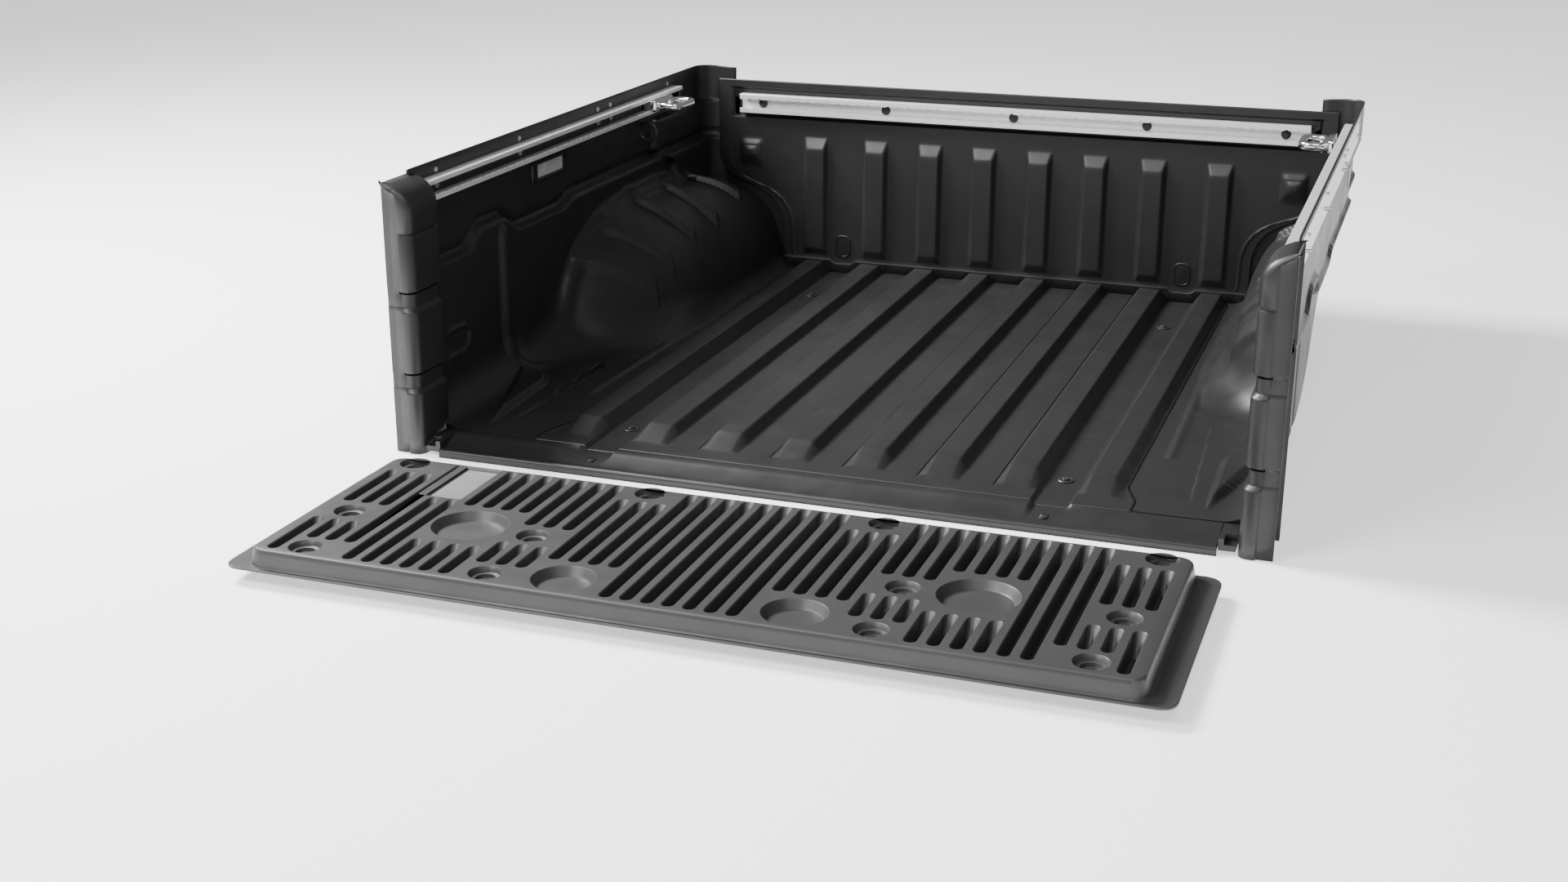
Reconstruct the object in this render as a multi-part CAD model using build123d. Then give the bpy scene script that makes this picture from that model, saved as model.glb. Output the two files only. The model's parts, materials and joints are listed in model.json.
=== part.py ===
from build123d import *
import math
import os

# Bed liner for a short-bed pickup, in millimetres.
# +X right, +Y towards the cab, +Z up.
# While it is modelled, y = 0 is the rear seam of the floor panel, x = 0 the centreline and z = 0 the floor
# of the two screw channels. place() then moves everything to the origin: the bottom centre of the liner.

# ---- driving dimensions ----
SHEET = 5.0                # moulded sheet thickness
SEAM_GAP = 2.0             # gap between neighbouring sheets
BED_LENGTH = 1420.0        # floor seam to the face of the front panel
FLOOR_HALF = 526.0         # half width of the floor panel
FLOOR_TAB_HALF = 550.0     # half width of its rear tabs
MARGIN = 46.0              # flat rear margin behind the ridges
RIDGE_RAMP = 65.0          # length of a ridge's sloped rear end
VALLEY_Z = 8.0             # level of the valleys above the screw channels
RIDGE_Z = 27.0             # level of the ridge tops
RIDGE_PITCH = 137.0
RIDGE_FOOT = 74.0
RIDGE_TOP = 46.0
CHANNEL_X = 414.0          # centre of a screw channel
CHANNEL_HALF = 29.0
CHANNEL_FLARE = 6.0
CHANNEL_FLANK = 20.0       # from the channel's outer edge to the outermost ridge's top
LAST_RIDGE_X = 508.0       # outer edge of the outermost ridge's top
LAST_FOOT_X = 520.0        # and of its foot
FLOOR_SCREW_Y = (131.0, 1184.0)
FLOOR_SCREW_REACH = 6.5    # how far a floor screw stands out below the panel

WALL_X = 770.0             # inner face of the lower side wall
UPPER_WALL_X = 788.0       # inner face of the upper side wall
WALL_TOP = 492.0
WALL_RADIUS = 75.0
WALL_REAR = 22.0
CREST_LINE = (
    (WALL_REAR, 293), (195, 293), (245, 330), (350, 330), (400, 293), (615, 293), (660, 311), (1415, 311),
)
SHELF_RISE = 34.0          # height of the sloped shelf above its crest
WALL_BEAD_Y = 325.0        # upright bead on the lower wall
WALL_BEAD_RADIUS = 16.0
WALL_BEAD_TOP = 322.0

WHEEL_Y = 1050.0           # highest point of the wheelhouse
WHEEL_TOP = 262.0
WHEEL_WIDTH = 198.0        # from the side wall to the wheelhouse's inner face
WHEEL_REAR = 500.0         # reach of the rear slope behind WHEEL_Y
WHEEL_STATIONS = (552.0, 580.0, 620.0, 680.0, 760.0, 880.0, 1050.0, 1230.0, 1412.0)
WHEEL_FALL = 66.0          # how much lower the arch is at the front wall
WHEEL_POWER = 1.3          # shape of the arch's section: rounded at the rear ...
WHEEL_FRONT_POWER = 4.0    # ... and squarer at the front wall
WHEEL_TURN_Y = (1120.0, 1420.0)

POST_X = 736.0             # inner face of a post cover
POST_REAR = -84.0
POST_FRONT = 20.0
POST_FOOT_Z = -19.0        # it reaches down past the ends of the sill
POST_LOW_Z = 440.0
POST_HIGH_Z = 484.0
POST_RADIUS = 24.0
POST_OUTER_X = 793.0
POST_BANDS = ((253, 288), (101, 134))
POST_BAND_DEPTH = 6.0
POST_CAP_STEP = 20.0       # the sloped cap: its steep part is this wide ...
POST_CAP_DROP = 14.0       # ... and ends this far below the top

SCREW_HOLE = 3.6           # radius of the clearance holes for screws and bolts
SCREW_SHANK = 3.3
SCREW_THREAD = 3.0
SCREW_HEAD_HEIGHT = 3.0
WASHER_RADIUS = 14.0
WASHER_HEIGHT = 2.4

SILL_HALF = 704.0
SILL_END_HALF = 733.0
SILL_REAR = -84.0
SILL_BOTTOM = -20.0
SILL_SCREW_Y = -50.0
SILL_SCREW_SEAT = -3.2     # height of the notch's floor under the screw heads
SILL_FLAT_Y = -12.0        # the flat margin beside the seam ends here
SILL_LIP_Y = -70.0
SILL_NOSE_Y = -79.0
SILL_END_NOTCH = 34.0      # length of the notch in each end piece

GATE_HALF = 691.0
GATE_FRONT = -246.0
GATE_REAR = -701.0
GATE_TOP = 38.0
GATE_BOTTOM = 4.0
GATE_FLANGE = 10.0
GATE_FLANGE_SIDE = 45.0
GATE_PLATE = 18.0
GROOVE_DEPTH = 14.0
GROOVE_PITCH = 33.0
GROOVE_WIDTH = 18.0
GROOVE_FRONT = -252.0
GROOVE_REAR = -687.0
BIG_CUP = (415.0, -498.0, 61.0)
SMALL_CUP = (182.0, -644.0, 48.0)
GATE_SCREWS = ((203, -268), (645, -268), (302, -505), (630, -505), (302, -664), (613, -664))
GATE_SCREW_RECESS = 25.0
POCKET_X = (-563.0, -487.0)
POCKET_Y = (-400.0, -252.0)
POCKET_DEPTH = 8.0

FRONT_HALF = 735.0
FRONT_TOP = 460.0
FRONT_RIB_X = (66.5, 198.0, 333.0, 484.0)
FRONT_RIB_Z = (42.0, 330.0)
FRONT_RIB_WIDTH = 62.0
FRONT_RIB_DEPTH = 12.0
PAD_DRAFT = 9.0            # how much narrower a raised pad is at its crown, each side
PAD_SHEET = 4.0            # sheet thickness of the ribs and bosses
BOSS_X = 650.0
BOSS_Z = 286.0
BOSS_HALF = 30.0           # half the height of the two bosses beside the ribs
BOSS_WIDTH = 58.0
PLUG_X = 413.0
PLUG_Z = 66.0
PLUG_RADIUS = 17.0         # of the oval hole's ends
PLUG_HEIGHT = 50.0
TAB_HALF = 26.0            # half width of a tab that reaches down into a screw channel

FRONT_RAIL_HALF = 676.0
FRONT_RAIL_Z = (382.0, 427.0)
FRONT_RAIL_BOLT_PITCH = 311.0
FRONT_RAIL_BACK = BED_LENGTH + 10.0     # back of the rail, in the recess of the front panel
RAIL_WALL = 4.0
RAIL_DEPTH = 24.0
RAIL_LIP = 12.0            # height of the lips beside the slot
RAIL_LIP_WALL = 3.0
FRONT_BOLT_HEAD = 10.0

SIDE_RAIL_Y = (36.0, 1240.0)
SIDE_RAIL_JOINT = 845.0
SIDE_RAIL_Z = 430.0
SIDE_RAIL_BOLTS = (100.0, 440.0, 815.0, 880.0, 1205.0)
SIDE_BOLT_Z = SIDE_RAIL_Z + 18      # in the channel
RIVET_Z = SIDE_RAIL_Z + 45          # in the flange above it
RIVET_HOLE = 3.0
END_STOP_LENGTH = 12.0

CLEAT_Y = 1090.0
CLEAT_Z = 449.0
CLEAT_RING = (62.0, 114.0)          # outer size of the loop
CLEAT_EYE = (32.0, 76.0)
CLEAT_REACH = 40.0                  # middle of the loop from the cleat's foot
CLEAT_BOLT_HOLE = 4.3

LAMP_Y = (510.0, 632.0)
LAMP_Z = (380.0, 408.0)
LAMP_SCREW_HOLE = 1.7

CLIP_X = 735.0
CLIP_Y = (1120.0, 1240.0)
CLIP_HEAD = 9.0
CLIP_SHANK = 4.0
CLIP_HOLE = 4.2
FRONT_BOLT_END = BED_LENGTH + 30.0
GATE_SCREW_REACH = 12.0    # how far a tailgate screw stands out below the panel

MID_Y = (FRONT_BOLT_END + GATE_REAR - GATE_FLANGE) / 2


def place(shape):
    """Move a shape from the modelling datum to the origin at the bottom centre."""
    return Location((0, -MID_Y, -SILL_BOTTOM)) * shape


def save(name, *shapes):
    """Write one node; each shape given is one of its solids."""
    solids = [solid for shape in shapes for solid in place(shape).solids()]
    export_step(Compound(children=solids) if len(solids) > 1 else solids[0], f"parts/{name}.step")


def mirror_x(shape):
    return mirror(shape, about=Plane.YZ)


def section_y(points, y):
    """Closed wire through (x, z) points on the plane at y."""
    return Wire.make_polygon([Vector(x, y, z) for x, z in points], close=True)


def section_x(points, x):
    """Closed wire through (y, z) points on the plane at x."""
    return Wire.make_polygon([Vector(x, y, z) for y, z in points], close=True)


def prism_y(points, y0, y1):
    return extrude(Face(section_y(points, y0)), amount=y1 - y0, dir=(0, 1, 0))


def prism_x(points, x0, x1):
    return extrude(Face(section_x(points, x0)), amount=x1 - x0, dir=(1, 0, 0))


def block(x0, x1, y0, y1, z0, z1):
    return Pos((x0 + x1) / 2, (y0 + y1) / 2, (z0 + z1) / 2) * Box(abs(x1 - x0), abs(y1 - y0), abs(z1 - z0))


def post_z(radius, x, y, z0, z1):
    """Upright cylinder."""
    return Pos(x, y, (z0 + z1) / 2) * Cylinder(radius, z1 - z0)


def post_x(radius, x0, x1, y, z):
    """Cylinder along X."""
    return Pos((x0 + x1) / 2, y, z) * Rot(0, 90, 0) * Cylinder(radius, abs(x1 - x0))


def post_y(radius, x, y0, y1, z):
    """Cylinder along Y."""
    return Pos(x, (y0 + y1) / 2, z) * Rot(90, 0, 0) * Cylinder(radius, y1 - y0)


# ---- floor panel ----
def floor_outline(ridge_z, edge_x):
    """Upper outline (x, z) of the floor sheet from the centreline to its right edge."""
    rise = (RIDGE_FOOT - RIDGE_TOP) / 2
    points = []
    for index in range(3):
        centre = RIDGE_PITCH * (index + 0.5)
        foot_z = VALLEY_Z
        points += [
            (centre - RIDGE_FOOT / 2, foot_z),
            (centre - RIDGE_FOOT / 2 + rise, ridge_z),
            (centre + RIDGE_FOOT / 2 - rise, ridge_z),
        ]
        if index < 2:
            points.append((centre + RIDGE_FOOT / 2, foot_z))
    channel_in = CHANNEL_X - CHANNEL_HALF
    channel_out = CHANNEL_X + CHANNEL_HALF
    points += [(channel_in - CHANNEL_FLARE, VALLEY_Z), (channel_in, 0), (channel_out, 0)]
    points += [(channel_out + CHANNEL_FLARE, VALLEY_Z), (channel_out + CHANNEL_FLANK, ridge_z)]
    points += [(LAST_RIDGE_X, ridge_z), (LAST_FOOT_X, VALLEY_Z), (edge_x, VALLEY_Z)]
    return points


def floor_section(ridge_z, edge_x, y):
    right = floor_outline(ridge_z, edge_x)
    upper = [(-x, z) for x, z in reversed(right)] + right
    lower = [(x, z - SHEET) for x, z in reversed(upper)]
    return section_y(upper + lower, y)


def make_floor_panel():
    sections = [
        floor_section(VALLEY_Z + 0.01, FLOOR_TAB_HALF, 0),
        floor_section(VALLEY_Z + 0.01, FLOOR_TAB_HALF, MARGIN),
        floor_section(RIDGE_Z, FLOOR_HALF, MARGIN + RIDGE_RAMP),
        floor_section(RIDGE_Z, FLOOR_HALF, BED_LENGTH - SEAM_GAP),
    ]
    panel = Solid.make_loft(sections, ruled=True)
    for x, y in floor_screw_places():
        panel -= post_z(SCREW_HOLE, x, y, -20, 20)
    return panel


def floor_screw_places():
    return [(side * CHANNEL_X, y) for side in (-1, 1) for y in FLOOR_SCREW_Y]


def pan_screw(x, y, seat_z, head_radius, grip, reach):
    """Round-headed screw on seat_z: a plain shank over the grip, then the thread down to reach."""
    head = post_z(head_radius, x, y, seat_z, seat_z + SCREW_HEAD_HEIGHT)
    head = fillet(head.edges().group_by(Axis.Z)[-1], SCREW_HEAD_HEIGHT / 2)
    shank = post_z(SCREW_SHANK, x, y, seat_z - grip, seat_z)
    return head + shank + post_z(SCREW_THREAD, x, y, seat_z - reach, seat_z - grip)


def cup_washer(x, y, seat_z):
    ring = post_z(WASHER_RADIUS, x, y, seat_z, seat_z + WASHER_HEIGHT)
    ring = chamfer(ring.edges().group_by(Axis.Z)[-1], WASHER_HEIGHT / 2)
    return ring - post_z(SCREW_HOLE, x, y, seat_z - 1, seat_z + WASHER_HEIGHT + 1)


# ---- side liners ----
def crest_height(y):
    for (y0, z0), (y1, z1) in zip(CREST_LINE, CREST_LINE[1:]):
        if y0 <= y <= y1:
            return z0 + (z1 - z0) * (y - y0) / (y1 - y0)
    return CREST_LINE[-1][1]


def cove(radius):
    """Points (x, z) around the rounded corner between the foot and the wall, from the foot up."""
    turns = [math.radians(15 * step) for step in range(1, 6)]
    centre_x = WALL_X - WALL_RADIUS
    centre_z = VALLEY_Z + WALL_RADIUS
    return [(centre_x + radius * math.sin(turn), centre_z - radius * math.cos(turn)) for turn in turns]


def wall_section(y):
    """Sheet section of the foot, the lower wall, the sloped shelf and the upper wall."""
    crest = crest_height(y)
    root = crest + SHELF_RISE
    foot_x = FLOOR_HALF + SEAM_GAP
    upper_back = UPPER_WALL_X + SHEET
    lower_back = WALL_X + SHEET
    inner = [(foot_x, VALLEY_Z), (WALL_X - WALL_RADIUS, VALLEY_Z)] + cove(WALL_RADIUS)
    inner += [(WALL_X, VALLEY_Z + WALL_RADIUS), (WALL_X, crest), (UPPER_WALL_X, root)]
    inner.append((UPPER_WALL_X, WALL_TOP))
    outer = [(upper_back, WALL_TOP), (upper_back, root - 2), (lower_back, crest - 2)]
    outer.append((lower_back, VALLEY_Z + WALL_RADIUS))
    outer += reversed(cove(WALL_RADIUS + SHEET))
    outer += [(WALL_X - WALL_RADIUS, VALLEY_Z - SHEET), (foot_x, VALLEY_Z - SHEET)]
    return section_y(inner + outer, y)


def wheel_shape(y):
    """Share of the full width and the height of the wheelhouse at y."""
    if y >= WHEEL_Y:
        ahead = (y - WHEEL_Y) / (WHEEL_STATIONS[-1] - WHEEL_Y)
        return 1.0, WHEEL_TOP - WHEEL_FALL * ahead ** 2
    left = 1 - ((WHEEL_Y - y) / WHEEL_REAR) ** 3.2
    return left ** 0.77, WHEEL_TOP * math.sqrt(left)


def wheel_height(y, inward):
    """Height of the arch at y, a distance inward from the wall."""
    width_share, top = wheel_shape(y)
    turn = min(1.0, max(0.0, (y - WHEEL_TURN_Y[0]) / (WHEEL_TURN_Y[1] - WHEEL_TURN_Y[0])))
    power = WHEEL_POWER + (WHEEL_FRONT_POWER - WHEEL_POWER) * turn * turn * (3 - 2 * turn)
    return top * math.sqrt(max(0.0, 1 - (inward / (WHEEL_WIDTH * width_share)) ** power))


def wheelhouse_section(y, inset):
    """Arch from the wall down to the foot; inset gives the hollow under it."""
    width_share, top = wheel_shape(y)
    extra = 10 if inset else 0
    x_out = WALL_X + 3 + extra
    z_low = VALLEY_Z - SHEET - extra
    points = [(x_out, z_low), (WALL_X - WHEEL_WIDTH * width_share + inset, z_low)]
    for step in (0.97, 0.88, 0.74, 0.56, 0.36, 0.16):
        inward = step * width_share * WHEEL_WIDTH
        height = wheel_height(y, inward) - 0.9 * inset
        points.append((WALL_X - inward + 0.7 * inset, max(height, z_low + 1)))
    points.append((x_out, max(top - inset, z_low + 2)))
    return section_y(points, y)


def wheelhouse(inset):
    """Solid arch; with an inset, the hollow one sheet thickness inside it."""
    stations = list(WHEEL_STATIONS)
    if inset:
        stations = stations[1:-1] + [stations[-1] - inset]
    return Solid.make_loft([wheelhouse_section(y, inset) for y in stations], ruled=True)


def make_side_liner():
    """Right-hand side liner."""
    liner = Solid.make_loft([wall_section(y) for y, _ in CREST_LINE], ruled=True)
    liner += wheelhouse(0)
    liner -= wheelhouse(SHEET)
    seam_x = FLOOR_TAB_HALF + SEAM_GAP
    ramp_end = MARGIN + RIDGE_RAMP
    inside = LAST_RIDGE_X
    liner -= block(inside, seam_x, 0, MARGIN + SEAM_GAP, -10, 20)
    corner = [(seam_x, MARGIN), (seam_x, MARGIN + SEAM_GAP), (FLOOR_HALF + SEAM_GAP, ramp_end + SEAM_GAP)]
    corner += [(inside, ramp_end), (inside, MARGIN)]
    liner -= extrude(Face(Wire.make_polygon([Vector(x, y, -10) for x, y in corner], close=True)), amount=40)
    liner += block(seam_x, POST_X - SEAM_GAP, 0, WALL_REAR + 1, VALLEY_Z - SHEET, VALLEY_Z)
    bead = post_z(WALL_BEAD_RADIUS, WALL_X + 4, WALL_BEAD_Y, VALLEY_Z + 20, WALL_BEAD_TOP)
    liner += bead & block(WALL_X - 70, WALL_X + 1, WALL_BEAD_Y - 25, WALL_BEAD_Y + 25, 0, WALL_BEAD_TOP + 10)
    for y in CLIP_Y:
        top = wheelhouse_top(y)
        liner -= post_z(CLIP_HOLE, CLIP_X, y, top - 20, top + 10)
    return liner


# ---- rear post covers ----
def post_solid(inset):
    x0 = POST_X + inset
    x1 = POST_OUTER_X + (10 if inset else 0)
    z0 = POST_FOOT_Z - (10 if inset else 0)
    cap_z = POST_HIGH_Z - POST_CAP_DROP - inset
    profile = [(x0, z0), (x1, z0), (x1, POST_HIGH_Z - inset), (x0 + POST_CAP_STEP, cap_z)]
    profile.append((x0, POST_LOW_Z - inset))
    solid = prism_y(profile, POST_REAR + inset, POST_FRONT - inset)
    corner = [edge for edge in solid.edges() if abs(edge.center().X - x0) < 0.1]
    upright = [edge for edge in corner if abs(edge.center().Y - (POST_REAR + inset)) < 0.1]
    return fillet(upright, POST_RADIUS - inset)


def band_cut(low, high, grow):
    """Space that a recessed band takes away from the inner and rear faces of a post."""
    deep = POST_BAND_DEPTH + grow
    z0 = low - grow
    z1 = high + grow
    inner = block(POST_X - 1, POST_X + deep, POST_REAR - 1, POST_FRONT + 1, z0, z1)
    return inner + block(POST_X - 1, POST_OUTER_X + 20, POST_REAR - 1, POST_REAR + deep, z0, z1)


def make_post_cover():
    """Right-hand rear post cover: a shell open to the outside and below."""
    cover = post_solid(0)
    hollow = post_solid(SHEET)
    for low, high in POST_BANDS:
        cover -= band_cut(low, high, 0)
        hollow -= band_cut(low, high, SHEET)
    return cover - hollow


# ---- sill ----
def sill_section(low, x):
    """Section (y, z) of the sill strip; low is how far the screw notch drops it."""
    flat_z = VALLEY_Z - low
    lip_z = -4 - 0.3 * low
    nose_z = -9 - 0.1 * low
    back_y = SILL_REAR + SHEET
    upper = [(-SEAM_GAP, flat_z), (SILL_FLAT_Y, flat_z), (SILL_LIP_Y, lip_z), (SILL_NOSE_Y, lip_z)]
    upper += [(SILL_REAR, nose_z), (SILL_REAR, SILL_BOTTOM)]
    lower = [(back_y, SILL_BOTTOM), (back_y, nose_z - 3), (SILL_LIP_Y, lip_z - SHEET)]
    lower += [(SILL_FLAT_Y, flat_z - SHEET), (-SEAM_GAP, flat_z - SHEET)]
    return section_x(upper + lower, x)


def make_sill_strip():
    inner = CHANNEL_X - CHANNEL_HALF
    outer = CHANNEL_X + CHANNEL_HALF
    right = [(inner - 16, 0), (inner, VALLEY_Z), (outer, VALLEY_Z), (outer + 16, 0), (SILL_HALF, 0)]
    stations = [(-x, low) for x, low in reversed(right)] + right
    strip = Solid.make_loft([sill_section(low, x) for x, low in stations], ruled=True)
    for side in (-1, 1):
        strip -= post_z(SCREW_HOLE, side * CHANNEL_X, SILL_SCREW_Y, -30, 30)
    return strip


def make_sill_end():
    """Right-hand end piece between the sill strip and the post cover, with a notch for the gate seal."""
    notch_y = SILL_REAR + SILL_END_NOTCH
    end = block(SILL_HALF + 1, SILL_END_HALF, SILL_REAR + 8, -SEAM_GAP, SILL_BOTTOM + 8, VALLEY_Z)
    end -= block(SILL_HALF + 10, SILL_END_HALF + 1, SILL_REAR, notch_y, -2, 20)
    return end


# ---- tailgate panel ----
def groove(column, y_front, y_rear):
    """Round-ended groove cut down from the top of the tailgate panel."""
    length = y_front - y_rear
    centre_y = (y_front + y_rear) / 2
    slot = Rot(0, 0, 90) * SlotOverall(length, GROOVE_WIDTH)
    face = Pos(column * GROOVE_PITCH, centre_y, GATE_TOP - GROOVE_DEPTH) * slot
    return extrude(face, amount=GROOVE_DEPTH + 5)


def groove_spans(column):
    """(front, rear) ends of the grooves of one column; columns count out from the centreline."""
    low_front = -310
    if column <= 3:
        return [(GROOVE_FRONT, GROOVE_REAR)]
    if column == 4:
        return [(GROOVE_FRONT, -580)]
    if column <= 7:
        return [(low_front, -581)]
    if column <= 10:
        return [(GROOVE_FRONT, -465), (-543, -628)]
    if column <= 14:
        return [(GROOVE_FRONT, -419), (-576, GROOVE_REAR)]
    if column <= 16:
        return [(GROOVE_FRONT, GROOVE_REAR)]
    if column == 17:
        return [(GROOVE_FRONT, -626)]
    rear = GROOVE_REAR if column == 20 else -628
    return [(low_front, -466), (-544, rear)]


def gate_outline(grow_x, grow_rear, grow_front, corner, z0, z1):
    width = 2 * (GATE_HALF + grow_x)
    y0 = GATE_REAR - grow_rear
    y1 = GATE_FRONT + grow_front
    face = Pos(0, (y0 + y1) / 2, z0) * RectangleRounded(width, y1 - y0, corner)
    return extrude(face, amount=z1 - z0)


def make_tailgate_panel():
    panel = gate_outline(0, 0, 0, 30, GATE_BOTTOM, GATE_TOP)
    panel = chamfer(panel.edges().group_by(Axis.Z)[-1], 3)
    panel += gate_outline(GATE_FLANGE_SIDE, GATE_FLANGE, GATE_FLANGE - 4, 30, GATE_BOTTOM, GATE_BOTTOM + 4)
    panel -= gate_outline(-SHEET, -SHEET, -SHEET, 25, GATE_BOTTOM - 1, GATE_TOP - GATE_PLATE)
    cuts = []
    middle_z = GATE_TOP - GROOVE_DEPTH / 2
    for column in range(-20, 21):
        for front, rear in groove_spans(abs(column)):
            if column in (-15, -16):
                front = POCKET_Y[0] - 6
            cuts.append(groove(column, front, rear))
    for side in (-1, 1):
        for x, y, radius in (BIG_CUP, SMALL_CUP):
            cuts.append(Pos(side * x, y, middle_z) * Cone(radius - 7, radius, GROOVE_DEPTH))
    for x, y in gate_screw_places():
        recess = Cone(GATE_SCREW_RECESS - 5, GATE_SCREW_RECESS, GROOVE_DEPTH)
        cuts.append(Pos(x, y, middle_z) * recess)
        cuts.append(post_z(SCREW_HOLE, x, y, 0, GATE_TOP))
    cuts.append(block(*POCKET_X, *POCKET_Y, GATE_TOP - POCKET_DEPTH, GATE_TOP + 1))
    return panel - cuts


def gate_screw_places():
    return [(side * x, y) for side in (-1, 1) for x, y in GATE_SCREWS]


# ---- front panel ----
def front_outline():
    """Right half of the front panel's outline (x, z), from the bottom centre up to the top centre."""
    above_ridges = RIDGE_Z + 2
    tab = [(CHANNEL_X - TAB_HALF, above_ridges), (CHANNEL_X - TAB_HALF + 6, 4)]
    tab += [(CHANNEL_X + TAB_HALF - 6, 4), (CHANNEL_X + TAB_HALF, above_ridges)]
    shoulder = [(558, above_ridges), (566, 46), (568, 118), (584, 160), (618, 192), (676, 214), (716, 234)]
    return tab + shoulder + [(FRONT_HALF, 266), (FRONT_HALF, FRONT_TOP)]


def raised_pad(x0, x1, z0, z1, depth, draft):
    """Block standing out of the front panel towards the bed with sloped sides."""
    foot = section_y([(x0, z0), (x1, z0), (x1, z1), (x0, z1)], BED_LENGTH)
    x0, x1, z0, z1 = x0 + draft, x1 - draft, z0 + draft, z1 - draft
    crown = section_y([(x0, z0), (x1, z0), (x1, z1), (x0, z1)], BED_LENGTH - depth)
    return Solid.make_loft([foot, crown], ruled=True)


def make_front_panel():
    right = front_outline()
    outline = right + [(-x, z) for x, z in reversed(right)]
    panel = prism_y(outline, BED_LENGTH, BED_LENGTH + SHEET)
    half = FRONT_HALF - 35
    z0 = FRONT_RAIL_Z[0] - 10
    z1 = FRONT_RAIL_Z[1] + 13
    panel += block(-half - SHEET, half + SHEET, BED_LENGTH, FRONT_RAIL_BACK + SHEET, z0 - SHEET, z1 + SHEET)
    panel -= block(-half, half, BED_LENGTH - 1, FRONT_RAIL_BACK, z0, z1)
    pads = [(x, FRONT_RIB_WIDTH, FRONT_RIB_Z) for x in FRONT_RIB_X]
    pads.append((BOSS_X, BOSS_WIDTH, (BOSS_Z - BOSS_HALF, BOSS_Z + BOSS_HALF)))
    for x, width, (low, high) in pads:
        for side in (-1, 1):
            x0 = side * x - width / 2
            x1 = side * x + width / 2
            panel += raised_pad(x0, x1, low, high, FRONT_RIB_DEPTH, PAD_DRAFT)
            x0, x1, low_in, high_in = x0 + PAD_SHEET, x1 - PAD_SHEET, low + PAD_SHEET, high - PAD_SHEET
            panel -= raised_pad(x0, x1, low_in, high_in, FRONT_RIB_DEPTH - PAD_SHEET, PAD_DRAFT)
            panel -= block(x0, x1, BED_LENGTH - 0.01, BED_LENGTH + SHEET + 1, low_in, high_in)
    for x in front_bolt_places():
        panel -= post_y(SCREW_HOLE, x, BED_LENGTH, FRONT_BOLT_END, sum(FRONT_RAIL_Z) / 2)
    for side in (-1, 1):
        panel -= oval(side * PLUG_X, PLUG_RADIUS, PLUG_HEIGHT, BED_LENGTH - 1, BED_LENGTH + SHEET + 1)
    return panel


def oval(x, radius, height, y0, y1):
    """Upright oval prism centred on a plug position."""
    low = PLUG_Z - height / 2 + radius
    high = PLUG_Z + height / 2 - radius
    body = block(x - radius, x + radius, y0, y1, low, high)
    return body + post_y(radius, x, y0, y1, low) + post_y(radius, x, y0, y1, high)


def make_front_plug(x):
    """Oval plug: a flange against the face and a shallow body in the hole."""
    flange = oval(x, PLUG_RADIUS + 3, PLUG_HEIGHT + 6, BED_LENGTH - 2.5, BED_LENGTH)
    return flange + oval(x, PLUG_RADIUS - 0.5, PLUG_HEIGHT - 1, BED_LENGTH, BED_LENGTH + SHEET)


# ---- rails ----
def front_bolt_places():
    return [FRONT_RAIL_BOLT_PITCH * step for step in range(-2, 3)]


def make_front_rail():
    """C-channel open towards the bed, lying in the recess of the front panel."""
    back = FRONT_RAIL_BACK
    mouth = back - RAIL_DEPTH
    z0, z1 = FRONT_RAIL_Z
    inside = back - RAIL_WALL
    lip = mouth + RAIL_LIP_WALL
    profile = [(back, z0), (back, z1), (mouth, z1), (mouth, z1 - RAIL_LIP), (lip, z1 - RAIL_LIP)]
    profile += [(lip, z1 - RAIL_WALL), (inside, z1 - RAIL_WALL), (inside, z0 + RAIL_WALL)]
    profile += [(lip, z0 + RAIL_WALL), (lip, z0 + RAIL_LIP), (mouth, z0 + RAIL_LIP), (mouth, z0)]
    rail = prism_x(profile, -FRONT_RAIL_HALF, FRONT_RAIL_HALF)
    for x in front_bolt_places():
        rail -= post_y(SCREW_HOLE, x, mouth, back + 1, (z0 + z1) / 2)
    return rail


def side_rail_profile():
    """Section (x, z) of the right-hand side rail: back plate, lower leg with lip, upper leg with lip."""
    wall = UPPER_WALL_X
    plate = wall - RAIL_WALL
    z0 = SIDE_RAIL_Z
    flange_z = z0 + 54
    upper_z = z0 + 36
    upper_x = wall - 30
    lower_x = wall - 36
    profile = [(wall, z0), (wall, flange_z), (plate, flange_z), (plate, upper_z), (upper_x, upper_z)]
    profile += [(upper_x, upper_z - 8), (upper_x + RAIL_WALL, upper_z - 8)]
    profile += [(upper_x + RAIL_WALL, upper_z - RAIL_WALL), (plate, upper_z - RAIL_WALL)]
    profile.append((plate, z0 + RAIL_WALL))
    profile += [(lower_x + RAIL_WALL, z0 + RAIL_WALL), (lower_x + RAIL_WALL, z0 + 10), (lower_x, z0 + 10)]
    return profile + [(lower_x, z0)]


def make_side_rail(y0, y1):
    rail = prism_y(side_rail_profile(), y0, y1)
    for y in SIDE_RAIL_BOLTS:
        if y0 < y < y1:
            rail -= post_x(SCREW_HOLE, UPPER_WALL_X - 10, UPPER_WALL_X + 1, y, SIDE_BOLT_Z)
            rail -= post_x(RIVET_HOLE, UPPER_WALL_X - 10, UPPER_WALL_X + 1, y, RIVET_Z)
    return rail


def make_rail_bolt(y):
    """Low-headed bolt in the channel, through the rail and the side liner."""
    seat = UPPER_WALL_X - RAIL_WALL
    head = post_x(8, seat - 3.2, seat, y, SIDE_BOLT_Z)
    return head + post_x(3.5, seat - 1, UPPER_WALL_X + SHEET + 3, y, SIDE_BOLT_Z)


def make_flange_rivet(y):
    seat = UPPER_WALL_X - RAIL_WALL
    return post_x(5, seat - 3, seat, y, RIVET_Z) + post_x(2.9, seat - 1, UPPER_WALL_X + SHEET, y, RIVET_Z)


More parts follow.
